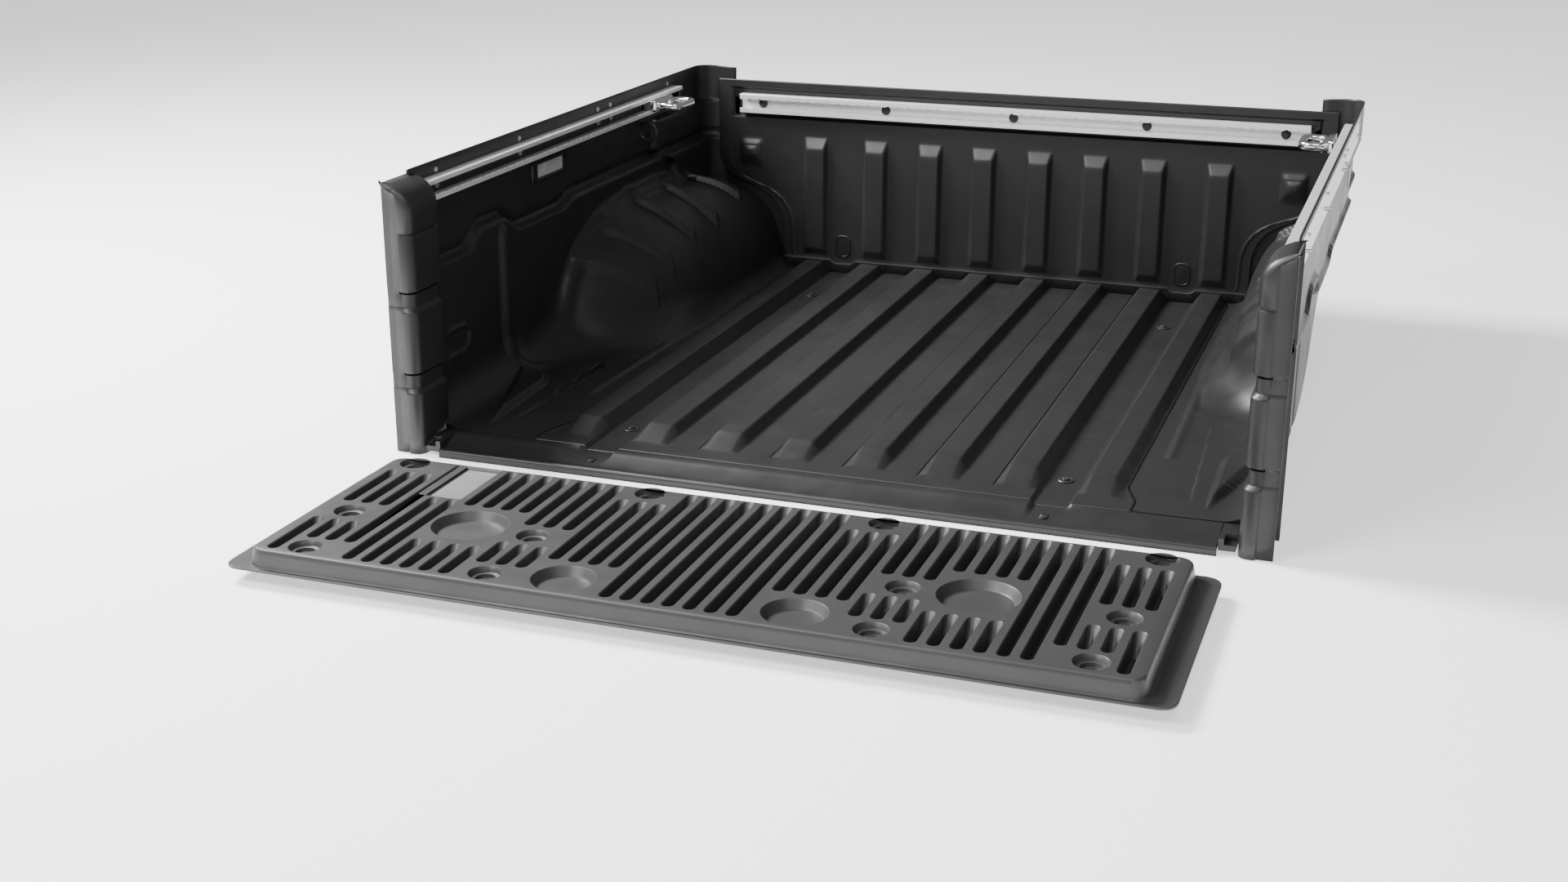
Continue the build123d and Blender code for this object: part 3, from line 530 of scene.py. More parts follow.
def wheelhouse_gap(x, y, z):
    """About how far a point stands clear of the wheelhouse."""
    width, top = wheel_shape(y)
    across = np.clip((WALL_X - x) / WHEEL_WIDTH, 0, None)
    width = np.maximum(width, 0.02)
    top = np.maximum(top, 1.0)
    power = wheel_power(y)
    shape = (across / width) ** power + (np.clip(z, 0, None) / top) ** 2
    slope_x = power * (across / width) ** (power - 1) / (width * WHEEL_WIDTH)
    slope_z = 2 * np.clip(z, 0, None) / top ** 2
    gap = (shape - 1) / np.sqrt(slope_x ** 2 + slope_z ** 2 + 1e-6)
    gap = np.clip(gap, -60, 200)
    strap = np.zeros_like(gap)
    for start, end in STRAPS:
        distance, share = segment_distance((x, y), start, end)
        strap = np.maximum(strap, ease((STRAP_HALF + 2 - distance) / 4.5) * ease((0.999 - share) * 40))
    flare = WHEEL_FLARE * np.clip(1 - z / WHEEL_FLARE_TOP, 0, 1) ** 2
    return gap - STRAP_RISE * strap * ease((z - WHEEL_FLARE_TOP) / 20) - flare * (width > 0.05)


def crest_bead():
    """Centre line of the roll where the wheelhouse meets the wall."""
    places = (545, 560, 575, 590, 610, 634, 670, 721, 780, 852, 950, 1050, 1150, 1250, 1330)
    return [(WALL_X - 4, y, wheel_shape(y)[1] - 4) for y in places]


def sweep_line():
    """Where the lower wall starts to curve towards the load: it rises from the cove into the wheelhouse."""
    return ((0, 0), (330, 0), (420, 10), (480, 34), (530, 78), (560, 120), (600, 130), (1500, 130))


def raised(gap, point, line, radius, blend):
    """The gap with a bead of that radius laid along a line."""
    return smooth_min(gap, polyline_distance(point, line) - radius, blend)


def liner_gap(x, y, z):
    """About how far a point stands clear of the right-hand side liner."""
    to_floor = z - VALLEY_Z - foot_rise(x, y)
    to_wall = wall_face(y, z) - x
    cove = COVE + 0.55 * along_line(sweep_line(), y)
    corner = cove - np.hypot(np.clip(cove - to_floor, 0, None), np.clip(cove - to_wall, 0, None))
    gap = np.where((to_floor < cove) & (to_wall < cove), corner, np.minimum(to_floor, to_wall))
    base = np.clip(1 - z / 220, 0, 1) * ease((y - 505) / 130) * ease((x - 532) / 50)
    base = base * (1 - 0.7 * ease((y - 800) / 300))
    gap = smooth_min(gap, wheelhouse_gap(x, y, z), 12 + 100 * base)
    point = (x, y, z)
    gap = raised(gap, point, crest_bead(), 18, 16)
    gap = raised(gap, point, WALL_BEAD, 17, 8)
    gap = raised(gap, point, FOOT_BEAD, 9, 6)
    gap = raised(gap, point, WALL_LOOP, 5.5, 4)
    slit = polyline_distance(point, [(px, py - 38, pz) for px, py, pz in WALL_BEAD])
    return np.maximum(gap, np.minimum(1.9, 5.5 - slit) + np.minimum(gap, 0))


def right_of(x, y, start, end):
    """Distance to the right of the line from start to end."""
    run = (end[0] - start[0], end[1] - start[1])
    return ((x - start[0]) * run[1] - (y - start[1]) * run[0]) / math.hypot(*run)


def foot_rise(x, y):
    """Height of the wedge-shaped platform and of the pad behind the wheelhouse."""
    inner = right_of(x, y, WEDGE[0], WEDGE[1])
    front = right_of(x, y, WEDGE[1], WEDGE[2])
    wedge = ease(np.minimum(inner, front) / 3.5 + 0.5)
    slope = np.clip((y - WEDGE[0][1]) / (WEDGE[1][1] - WEDGE[0][1]), 0, 1)
    depth = None
    for start, end in zip(PAD, PAD[1:] + PAD[:1]):
        edge = right_of(x, y, start, end)
        depth = edge if depth is None else smooth_min(depth, edge, 10)
    return WEDGE_RISE * slope * wedge + PAD_RISE * ease(depth / 13)


def liner_targets(foot_x):
    """(x, z) places on the plain wall section that the rays aim at, from the foot's edge to the top."""
    foot = [(x, VALLEY_Z) for x in np.linspace(foot_x, WALL_X - COVE, 58)]
    cove = []
    for turn in np.linspace(0, math.pi / 2, 24)[1:]:
        cove.append((WALL_X - COVE * (1 - math.sin(turn)), VALLEY_Z + COVE * (1 - math.cos(turn))))
    wall = [(WALL_X, z) for z in np.linspace(VALLEY_Z + COVE, WALL_TOP, 84)[1:-1]]
    return np.array(foot + cove + wall + [(UPPER_X, WALL_TOP)])


def liner_surface():
    """Rows x columns x 3 points on the right-hand side liner, found along rays."""
    along = np.concatenate([
        np.linspace(LINER_REAR, 80, 14), np.linspace(80, 560, 118)[1:], np.linspace(560, 1330, 206)[1:],
        np.linspace(1330, LINER_FRONT - FRONT_CORNER, 12)[1:],
        LINER_FRONT - FRONT_CORNER * (1 - np.sin(np.linspace(0, math.pi / 2, 9)[1:])),
    ])
    targets = np.array([liner_targets(foot_start(y)) for y in along])
    y = np.repeat(along[:, None], targets.shape[1], axis=1)
    reach_x = targets[:, :, 0] - EYE_X
    reach_z = targets[:, :, 1] - EYE_Z

    def gap_at(share):
        return liner_gap(EYE_X + reach_x * share, y, EYE_Z + reach_z * share)

    low = np.full(y.shape, RAY_SPAN[0])
    high = np.full(y.shape, RAY_SPAN[1])
    found = np.zeros(y.shape, bool)
    for share in np.linspace(*RAY_SPAN, RAY_STEPS):
        hit = (gap_at(np.full(y.shape, share)) <= 0) & ~found
        high = np.where(hit, share, high)
        low = np.where(found | hit, low, share)
        found |= hit
    for _ in range(RAY_HALVINGS):
        middle = (low + high) / 2
        inside = gap_at(middle) <= 0
        high = np.where(inside, middle, high)
        low = np.where(inside, low, middle)
    share = (low + high) / 2
    return np.dstack([EYE_X + reach_x * share, y, EYE_Z + reach_z * share])


def foot_start(y):
    """|x| of the foot's inner edge, clear of the floor panel's tab."""
    return floor_edge(y - 2.0) + 2


def end_flange(surface):
    """Rows that turn in from the liner's front end, behind the front panel."""
    eye = np.array([EYE_X, 0.0, EYE_Z])
    rows = eye + (surface[-1] - eye) * (1 - 0.05 * np.arange(1, 4)[:, None, None])
    rows[:, :, 1] = LINER_FRONT
    return np.concatenate([surface, rows])


def rear_hem(row):
    """Turned-down hem along the rear edge of the foot, from the floor panel to the post cover."""
    top = row[row[:, 0] < POST_X - 2]
    low = top.copy()
    low[:, 2] -= HEM_DROP
    return grid(np.array([low, top]))


def seam_flange(edge):
    """Flange along the foot's inner edge that the floor panel lies on."""
    under = edge + np.array([-SEAM_LAP, 0, -SEAM_DROP])
    corner = edge + np.array([0, 0, -SEAM_DROP])
    return grid(np.stack([under, corner, edge], axis=1))


def build_side_liners():
    surface = liner_surface()
    shape = join(grid(end_flange(surface)), rear_hem(surface[0]), seam_flange(surface[:, 0]))
    make_pair("side_liner", "sheet", shape, "liner_plastic", 40, THIN_SHEET)


# ---------------------------------------------------------------- front panel
FRONT_TOP = 460.0
FRONT_OUTLINE = ((29, 558), (46, 566), (118, 568), (150, 578), (175, 596), (192, 618), (204, 646), (214, 676),
                 (224, 700), (240, 720), (266, 735), (FRONT_TOP, 735))
RIB_X = (66.5, 198.0, 333.0, 484.0)
RIB_HALF = 31.0
RIB_Z = (42.0, 330.0)
RIB_RISE = 12.0
BOSS = (650.0, 286.0, 30.0)
RECESS_HALF = 700.0
RECESS_Z = (372.0, 440.0)
RECESS_DEPTH = 10.0
FOOT_LIP = 1.6
FOOT_TUCK = 2.5
PANEL_HALF = 735.0
SPREAD_START = 505.0       # from here out the columns follow the outline


def pad(across, up, side_draft, low_draft, high_draft, half, low, high):
    """0 to 1 height of a raised pad with rounded corners."""
    side = (half - np.abs(across)) / side_draft
    bottom = (up - low) / low_draft
    top = (high - up) / high_draft
    return ramp(smooth_min(smooth_min(side, bottom, 0.5), top, 0.5), 0.16)


def front_rise(x, z):
    """How far the front panel stands out towards the bed at x, z."""
    across = np.abs(x)
    rise = np.zeros_like(across)
    for centre in RIB_X:
        rise = rise + RIB_RISE * pad(across - centre, z, 9, 17, 27, RIB_HALF, *RIB_Z)
    cx, cz, half = BOSS
    rise = rise + 7 * pad(across - cx, z, 8, 8, 8, half, cz - half, cz + half)
    rise = rise + 5 * pad(across - cx, z, 7, 7, 7, half - 12, cz - half + 14, cz + half - 14)
    inside = np.minimum(np.minimum(RECESS_HALF - across, z - RECESS_Z[0]), RECESS_Z[1] - z)
    rise = rise - RECESS_DEPTH * ramp(inside / 4 + 0.5, 0.2)
    edge = along_line(FRONT_OUTLINE, z) - across
    return rise + 2.2 * ease(1 - np.abs(edge - 24) / 5) * (z < 300) * (across > 520)


def front_foot(across):
    """Rows x columns x 3 points below the face: a thin lip, then a row that ends under the floor's top."""
    drop = 9 * ease((34 - np.abs(np.abs(across) - CHANNEL_X)) / 12)
    lip = ((-0.2, 37), (-0.6, 34), (-FOOT_LIP + 0.4, 31), (-FOOT_LIP, 30), (-FOOT_LIP + 0.5, 28.6))
    rows = [cross_row(across, BED_LENGTH + y, z - drop) for y, z in lip]
    closed = floor_height(across, np.full_like(across, BED_LENGTH)) - FOOT_TUCK
    low = np.minimum(closed, 27.8 - drop)
    return np.array(rows + [cross_row(across, BED_LENGTH - FOOT_TUCK, low)])


def build_front_panel():
    edges = [FRONT_OUTLINE[0][1] - 30, 560, BOSS[0] - BOSS[2], BOSS[0] + BOSS[2], BOSS[0], RECESS_HALF, 733]
    edges += [CHANNEL_X - 30, CHANNEL_X + 30]
    for centre in RIB_X:
        edges += [centre - RIB_HALF, centre - RIB_HALF + 9, centre + RIB_HALF - 9, centre + RIB_HALF]
    right = stations(edges, 9.0, (-3, -1, 1, 3))
    right = right[right < PANEL_HALF]
    across = both_sides(right)
    up = stations([RIB_Z[0], RIB_Z[0] + 17, RIB_Z[1] - 27, RIB_Z[1], RECESS_Z[0], RECESS_Z[1], BOSS[1]],
                  8.0, (-3, -1, 1, 3))
    up = np.concatenate([[FRONT_TOP, FRONT_TOP - 3], up[::-1]])
    x, z = np.meshgrid(across, up)
    half = along_line(FRONT_OUTLINE, z)
    outer = np.clip((np.abs(x) - SPREAD_START) / (PANEL_HALF - SPREAD_START), 0, 1)
    spread = np.sign(x) * (SPREAD_START + outer * (half - SPREAD_START))
    x = np.where(np.abs(x) > SPREAD_START, spread, x)
    face = np.dstack([x, BED_LENGTH - front_rise(x, z), z])
    shape = grid(np.concatenate([face, front_foot(x[-1])]), flip=True)
    make_piece("front_panel_sheet", shape, "bed", "liner_plastic", ("front_panel",), 40, THIN_SHEET)


# ---------------------------------------------------------------- tailgate panel
GATE_HALF = 691.0
GATE_FRONT = -246.0
GATE_REAR = -701.0
GATE_TOP = 38.0
GATE_BOTTOM = 4.0
FLANGE_TOP = 8.0
FLANGE_SIDE = 45.0
FLANGE_END = 10.0
GROOVE_DEPTH = 14.0
GROOVE_DARK = 33.0         # the grooves run on down into the hollow panel
GROOVE_SLOPE = 24.0        # at each groove's front end
GROOVE_PITCH = 33.0
GROOVE_HALF = 9.0
GROOVE_FRONT = -252.0
GROOVE_REAR = -687.0
BIG_CUP = (415.0, -498.0, 61.0)
SMALL_CUP = (182.0, -644.0, 48.0)
GATE_SCREWS = ((203, -268), (645, -268), (302, -505), (630, -505), (302, -664), (613, -664))
SCREW_RECESS = 25.0
SCREW_RISE = 3.2
POCKET_X = (-563.0, -487.0)
POCKET_Y = (-400.0, -252.0)
POCKET_DEPTH = 8.0
POCKET_COLUMNS = (-15, -16)            # cut short by the pocket
EDGE_SOFTENING = 1.6
GROOVE_COLUMNS = (         # last column of a group, out from the centreline, and its grooves' ends
    (3, ((GROOVE_FRONT, GROOVE_REAR),)),
    (4, ((GROOVE_FRONT, -580),)),
    (7, ((-310, -581),)),
    (10, ((GROOVE_FRONT, -465), (-543, -628))),
    (14, ((GROOVE_FRONT, -419), (-576, GROOVE_REAR))),
    (16, ((GROOVE_FRONT, GROOVE_REAR),)),
    (17, ((GROOVE_FRONT, -626),)),
    (19, ((-310, -466), (-544, -628))),
    (20, ((-310, -466), (-544, GROOVE_REAR))),
)


def groove_spans(column):
    """(front, rear) ends of the grooves of one column."""
    return next(spans for last, spans in GROOVE_COLUMNS if column <= last)


def groove_loop(x, front, rear, half, segments=7):
    """Outline of one groove: a slot with round ends."""
    loop = []
    for centre_y, start in ((front - half, 0.0), (rear + half, math.pi)):
        for step in range(segments + 1):
            turn = start + math.pi * step / segments
            loop.append((x + half * math.cos(turn), centre_y + half * math.sin(turn)))
    return loop


def round_hollow(x, y, profile, segments):
    """Rings of a round hollow in the top face, from (radius, depth) pairs."""
    turns = [2 * math.pi * step / segments for step in range(segments)]
    return [[(x + radius * math.cos(turn), y + radius * math.sin(turn), GATE_TOP - down) for turn in turns]
            for radius, down in profile]


def gate_hollows():
    """Each hollow of the tailgate panel as its rings from the top face down."""
    hollows = []
    for column in range(-20, 21):
        x = column * GROOVE_PITCH
        for front, rear in groove_spans(abs(column)):
            if column in POCKET_COLUMNS:
                front = POCKET_Y[0] - 6
            soft = EDGE_SOFTENING
            hollows.append([
                at_height(groove_loop(x, front + soft, rear - soft, GROOVE_HALF + soft), GATE_TOP),
                at_height(groove_loop(x, front, rear, GROOVE_HALF), GATE_TOP - soft),
                at_height(groove_loop(x, front - GROOVE_SLOPE, rear + 2, GROOVE_HALF - 0.6),
                          GATE_TOP - GROOVE_DARK),
            ])
    for side in (-1, 1):
        for x, y, radius in (BIG_CUP, SMALL_CUP):
            cup = ((radius + 2, 0), (radius, 2), (radius - 5, GROOVE_DEPTH - 3), (radius - 8, GROOVE_DEPTH))
            hollows.append(round_hollow(side * x, y, cup, 40))
        for x, y in GATE_SCREWS:
            recess = ((SCREW_RECESS + EDGE_SOFTENING, 0), (SCREW_RECESS, EDGE_SOFTENING),
                      (SCREW_RECESS - 3, 8), (16, 9), (14.5, GROOVE_DEPTH))
            hollows.append(round_hollow(side * x, y, recess, 32))
    pocket = []
    for grow, down in ((1.5, 0), (0, 1.5), (-3, POCKET_DEPTH)):
        outline = rounded_loop(grown(POCKET_X, POCKET_Y, grow, grow), 4, 3)
        pocket.append(at_height(outline, GATE_TOP - down))
    hollows.append(pocket)
    return hollows


def gate_rim():
    """Rings of the panel's outside, from its bottom edge up to the top face."""
    rings = []
    # reach past the sides and past the ends, height, corner radius
    flange = ((FLANGE_SIDE, FLANGE_END, GATE_BOTTOM, 30), (FLANGE_SIDE, FLANGE_END, FLANGE_TOP - 1, 30),
              (FLANGE_SIDE - 1.2, FLANGE_END - 1.2, FLANGE_TOP, 30))
    wall = ((9, 5, FLANGE_TOP, 28), (5.5, 3, 10.5, 28), (2.5, 1.5, 30, 28), (1, 0.5, 35, 27),
            (-1.2, -1.5, 37.4, 26), (-3.2, -3.5, GATE_TOP, 25))
    for side, end, z, radius in flange + wall:
        outline = rectangle(-GATE_HALF - side, GATE_HALF + side, GATE_REAR - end, GATE_FRONT + min(end, 6))
        rings.append(at_height(rounded_loop(outline, radius, 8), z))
    return rings


def gate_top(loops):
    """The top face, filled in between its outline and the mouths of the hollows."""
    sheet = bmesh.new()
    for loop in loops:
        corners = [sheet.verts.new(point) for point in loop]
        for corner, following in zip(corners, corners[1:] + corners[:1]):
            sheet.edges.new((corner, following))
    bmesh.ops.triangle_fill(sheet, use_beauty=True, use_dissolve=False, edges=sheet.edges[:])
    sheet.normal_update()
    for face in sheet.faces:
        if face.normal.z < 0:
            face.normal_flip()
    sheet.verts.index_update()
    points = [tuple(corner.co) for corner in sheet.verts]
    faces = [tuple(corner.index for corner in face.verts) for face in sheet.faces]
    sheet.free()
    return points, faces


def build_tailgate():
    rim = gate_rim()
    hollows = gate_hollows()
    shapes = [gate_top([rim[-1]] + [rings[0] for rings in hollows]), stack(rim, cap_last=False)]
    shapes += [stack(rings, cap_first=False) for rings in hollows]
    make_piece("tailgate_sheet", join(*shapes), "tailgate", "tailgate_plastic", ("tailgate_panel",), 30)


def screw_shape(x, y, seat, radius):
    """Low domed screw head with a six-lobed hollow and a washer face under it."""
    rise = SCREW_RISE
    profile = ((radius * 1.18, 0), (radius * 1.2, 0.7), (radius * 1.02, 0.9), (radius, rise * 0.55),
               (radius * 0.86, rise * 0.9), (radius * 0.6, rise), (radius * 0.5, rise),
               (radius * 0.42, rise * 0.35))
    return lathe(profile, (x, y, seat), "z", 36, lobes=(6, 7))


def build_tailgate_details():
    seat = GATE_TOP - GROOVE_DEPTH
    heads = [screw_shape(side * x, y, seat, 8) for side in (-1, 1) for x, y in GATE_SCREWS]
    make_piece("tailgate_screw_heads", join(*heads), "tailgate", "black_steel")
    low = GATE_TOP - POCKET_DEPTH
    outer = rounded_loop(grown(POCKET_X, POCKET_Y, -3.5, -3.5), 4, 3)
    x0, x1 = POCKET_X
    inner = rounded_loop(rectangle(x0 + 4.6, x1 - 4.6, POCKET_Y[0] + 4.6, POCKET_Y[1] - 16), 3, 3)
    rings = [at_height(outer, low + 0.2), at_height(outer, low + 2.4), at_height(inner, low + 3.2)]
    make_piece("tailgate_pocket_floor", stack(rings), "tailgate", "grey_plate", ("tailgate_pocket_plate",))


# ---------------------------------------------------------------- sill and post covers
SILL_HALF = 704.0
SILL_REAR = -84.0
SILL_BOTTOM = -20.0
SILL_SECTION = ((-2.0, 2.0), (-2.0, 7.4), (-2.6, 8.0), (-12, 8.0), (-20, 7.8), (-24, 7.0), (-28, 5.4),
                (-36, 2.8), (-50, -1.0), (-64, -4.2), (-70, -5.0), (-74, -4.6), (-78, -4.4), (-81, -5.2),
                (-83.4, -7.4), (SILL_REAR, -10), (SILL_REAR, SILL_BOTTOM))      # (y, z) from the seam
NOTCH_INNER = 33.0
NOTCH_FLANK = 9.0
NOTCH_OUTER = 27.0


def sill_drop(x, y):
    """How far the screw notches lower the sill's surface; their outer sides splay towards the seam."""
    across = np.abs(x)
    splay = np.interp(y, (SILL_REAR, -16, -2), (456, 505, CHANNEL_X + 37))
    inner = (across - CHANNEL_X + NOTCH_INNER) / NOTCH_FLANK
    outer = (splay - across) / (splay - CHANNEL_X - NOTCH_OUTER)
    return VALLEY_Z * ramp(np.minimum(inner, outer), 0.15)


def build_sill():
    inner = CHANNEL_X - NOTCH_INNER
    edges = [inner, inner + NOTCH_FLANK, CHANNEL_X + NOTCH_OUTER, CHANNEL_X + 40, CHANNEL_X + 60,
             CHANNEL_X + 90, SILL_HALF - 4]
    right = stations(edges, 24.0, (-4, -2, 0, 2, 4))
    across = both_sides(right)
    rows = []
    for y, z in SILL_SECTION:
        drop = sill_drop(across, np.full_like(across, y)) / VALLEY_Z
        level = z if z == SILL_BOTTOM else np.minimum(z, z * (1 - drop) + min(z, z * 0.2 - 2.0) * drop)
        rows.append(cross_row(across, y, level))
    shape = grid(np.array(rows), flip=True)
    make_piece("sill_sheet", shape, "bed", "liner_plastic", ("sill_strip",), 50, THIN_SHEET)


POST_X = 736.0
POST_OUTER_X = 793.0
POST_REAR = -84.0
POST_FRONT = 20.0
POST_BANDS = (101.0, 253.0)        # lower edge of each recessed band
POST_BAND_HEIGHT = 34.0
POST_BAND_DEPTH = 6.0
POST_SLIT_DEPTH = 10.0             # each band's upper edge is a dark slit
POST_SEAM = 393.0
POST_CAP = ((438, 0.4, 0), (446, 2, 0.6), (455, 6, 1.2), (463, 11, 2), (470, 18, 3), (476, 28, 4),
            (481, 40, 5), (484, 54, 6))        # height, inset of the inner face, inset of the rear face
POST_RADIUS = 18.0
COLUMN_EDGE = 764.0                # the rear face is set back beyond the column at the corner


def post_levels():
    """(z, inset) up the post: each band has a sloped lower lip and a square undercut at its top."""
    levels = [(-19, 0), (9, 0)]
    for low in POST_BANDS:
        deep = POST_BAND_DEPTH
        high = low + POST_BAND_HEIGHT
        levels += [(low - 7, 0), (low - 5, 0.3), (low - 3, 1.2), (low + 2, deep - 0.8), (low + 4, deep - 0.1),
                   (low + 6, deep), (high - 6, deep), (high - 5.4, deep + 0.6), (high - 5, POST_SLIT_DEPTH),
                   (high - 0.6, POST_SLIT_DEPTH), (high - 0.2, 0.8), (high + 0.6, 0.1), (high + 3, 0)]
    return levels + [(POST_SEAM - 4, 0), (POST_SEAM - 2.2, 0.6), (POST_SEAM - 1, 2.4), (POST_SEAM + 1, 2.4),
                     (POST_SEAM + 2.2, 0.6), (POST_SEAM + 4, 0), (430, 0)]


def post_row(z, inner_inset, rear_inset):
    """One row round the post: the rear face, its rounded corner, the inner face, the front."""
    x0 = POST_X + inner_inset
    y0 = POST_REAR + rear_inset
    reach = max(1.0, min(POST_RADIUS, (POST_OUTER_X - x0) * 0.9))
    edge = max(COLUMN_EDGE, x0 + reach + 1)
    set_back = min(max(POST_REAR + 5, y0), POST_REAR + 6)
    loop = [(POST_OUTER_X, set_back), (max(edge + 4, x0 + reach + 2), set_back),
            (edge + 2, max(set_back - 1, y0)), (edge, max(POST_REAR + 1, y0)),
            (edge - 1.5, max(POST_REAR, y0))]
    for turn in np.linspace(0, math.pi / 2, 9):
        loop.append((x0 + reach * (1 - math.sin(turn)), y0 + reach * (1 - math.cos(turn))))
    loop += [(x0, y) for y in np.linspace(y0 + reach, POST_FRONT - 5, 6)[1:]]
    for turn in np.linspace(0, math.pi / 2, 4)[1:]:
        loop.append((x0 + 5 * (1 - math.cos(turn)), POST_FRONT - 5 + 5 * math.sin(turn)))
    loop += [(x, POST_FRONT) for x in np.linspace(x0 + 5, max(POST_OUTER_X, x0 + 6), 4)[1:]]
    return at_height(loop, z)


def build_posts():
    rows = [post_row(z, inset, inset) for z, inset in post_levels()]
    rows += [post_row(z, inner, rear) for z, inner, rear in POST_CAP]
    make_pair("post_cover", "shell", grid(np.array(rows), flip=True), "liner_plastic", 36, THIN_SHEET)


# ---------------------------------------------------------------- rails
RAIL_Z = 430.0
RAIL_Y = (36.0, 1240.0)
RAIL_JOINT = 845.0
RAIL_BOLTS = (100.0, 440.0, 815.0, 880.0, 1205.0)
FRONT_RAIL_HALF = 676.0
FRONT_RAIL_Z = (382.0, 427.0)
FRONT_BOLTS = tuple(311.0 * step for step in range(-2, 3))
NOTCH_PITCH = 25.0
NOTCH_BITE = 2.4


def notched_stations(start, end):
    """Places along a rail with, for each, whether its lips are notched there."""
    marks = [(start, False)]
    place = start + NOTCH_PITCH
    while place < end - NOTCH_PITCH / 2:
        marks += [(place - 4.2, False), (place - 4, True), (place + 4, True), (place + 4.2, False)]
        place += NOTCH_PITCH
    return marks + [(end, False)]


def side_rail_section(notched):
    """(x, z) loop of the right-hand rail: flange, upper leg with lip, web, lower leg with lip."""
    lip = 10 - NOTCH_BITE if notched else 10
    loop = ((0, 0), (0, 54), (3, 54), (4, 53), (4, 36), (29, 36), (30, 35), (30, 28), (26.5, 28), (26, 32),
            (4, 32), (4, 4), (32, 4), (32.5, lip), (35.5, lip), (36, lip - 1), (36, 1), (35, 0))
    return [(UPPER_X - inward, RAIL_Z + up) for inward, up in loop]


def front_rail_section(notched):
    """(y, z) loop of the front rail, open towards the bed."""
    lip = 12 - NOTCH_BITE if notched else 12
    back = BED_LENGTH + RECESS_DEPTH
    mouth = back - 24
    z0, z1 = FRONT_RAIL_Z
    return [
        (back, z0), (back, z1), (mouth + 1.2, z1), (mouth, z1 - 1.2), (mouth, z1 - lip),
        (mouth + 3, z1 - lip), (mouth + 3.6, z1 - 4), (back - 4, z1 - 4), (back - 4, z0 + 4),
        (mouth + 3.6, z0 + 4), (mouth + 3, z0 + lip), (mouth, z0 + lip), (mouth, z0 + 1.2), (mouth + 1.2, z0),
    ]


def dotted_line(x, z, start, end):
    """A row of small round rivet marks along the rail's web."""
    places = np.arange(start + 12, end - 6, NOTCH_PITCH / 2)
    return [lathe(((1.6, 0), (1.5, 0.5), (0.8, 0.8)), (x, float(y), z), "x", 8) for y in places]


def flipped(shape):
    """The shape with its faces turned the other way."""
    points, faces = shape
    return points, [tuple(reversed(face)) for face in faces]


def build_side_rails():
    joint = RAIL_JOINT
    spans = {"rail_rear": (RAIL_Y[0], joint - 0.5), "rail_front": (joint + 0.5, RAIL_Y[1])}
    for part, (start, end) in spans.items():
        rings = [[(x, y, z) for x, z in side_rail_section(notched)]
                 for y, notched in notched_stations(start, end)]
        make_pair(part, "extrusion", flipped(stack(rings)), "rail_aluminium", 25)
    bolt = ((8, 0), (8, -1.6), (6.5, -2.9), (3.6, -3.2), (3.2, -3.2), (3, -1.4))
    rivet = ((5.4, 0), (5.2, -1.2), (3.8, -2.6), (1.5, -3.1))
    heads = [lathe(bolt, (UPPER_X - 4, y, RAIL_Z + 18), "x", 24, lobes=(4, 5)) for y in RAIL_BOLTS]
    rivets = [lathe(rivet, (UPPER_X - 4, y, RAIL_Z + 45), "x", 20) for y in RAIL_BOLTS]
    dots = dotted_line(UPPER_X - 4.6, RAIL_Z + 24, *RAIL_Y)
    groups = (("bolt_heads", heads, "zinc_steel"), ("rivet_heads", rivets, "zinc_steel"),
              ("dots", dots, "black_trim"))
    for name, side in SIDES:
        for kind, shapes, slot_name in groups:
            make_piece(f"{name}_rail_{kind}", mirrored(flipped(join(*shapes)), side), "bed", slot_name)


def build_front_rail():
    rings = [[(x, y, z) for y, z in front_rail_section(notched)]
             for x, notched in notched_stations(-FRONT_RAIL_HALF, FRONT_RAIL_HALF)]
    make_piece("front_rail_extrusion", stack(rings), "bed", "rail_aluminium", ("front_rail",), 25)
    middle = sum(FRONT_RAIL_Z) / 2
    seat = BED_LENGTH + RECESS_DEPTH - 4
    bolt = ((11, 0), (11, -1.5), (9.6, -1.8), (9.4, -4.6), (8, -5.6), (5, -5.8), (4.4, -5.8), (4.2, -2))
    heads = [lathe(bolt, (x, seat, middle), "y", 30, lobes=(6, 7)) for x in FRONT_BOLTS]
    make_piece("front_rail_bolt_heads", flipped(join(*heads)), "bed", "black_steel")


# ---------------------------------------------------------------- cleats
CLEAT_Y = 1090.0
CLEAT_Z = 449.0
CLEAT_FACE = UPPER_X - 37.0
CLEAT_REACH = 40.0
CLEAT_FOOT = ((0, 51, 13), (-1.2, 52, 14), (-8, 51, 13.5), (-12, 46, 12), (-18, 34, 10), (-22, 24, 8))
CLEAT_NECK = ((-1, 24, 5.5), (12, 24, 5.5))
RING_HALF_WIDTH = 7.5
RING_HALF_HEIGHT = 9.0


def cleat_ring():
    """Cast loop: a rounded section swept round a long oval."""
    centre_x = CLEAT_FACE - CLEAT_REACH
    path = rounded_loop(rectangle(-23.5, 23.5, -47.5, 47.5), 21, 8)
    rings = []
    for before, (x, y), after in zip(path[-1:] + path, path, path[1:] + path[:1]):
        along = (Vector(after) - Vector(before)).normalized()
        out = Vector((along.y, -along.x))
        ring = []
        for step in range(12):
            turn = 2 * math.pi * step / 12
            reach = RING_HALF_WIDTH * math.copysign(abs(math.cos(turn)) ** 0.7, math.cos(turn))
            lift = RING_HALF_HEIGHT * math.copysign(abs(math.sin(turn)) ** 0.7, math.sin(turn))
            ring.append((centre_x + x + out.x * reach, CLEAT_Y + y + out.y * reach, CLEAT_Z + lift))
        rings.append(ring)
    rings.append(rings[0])
    return flipped(stack(rings, False, False))


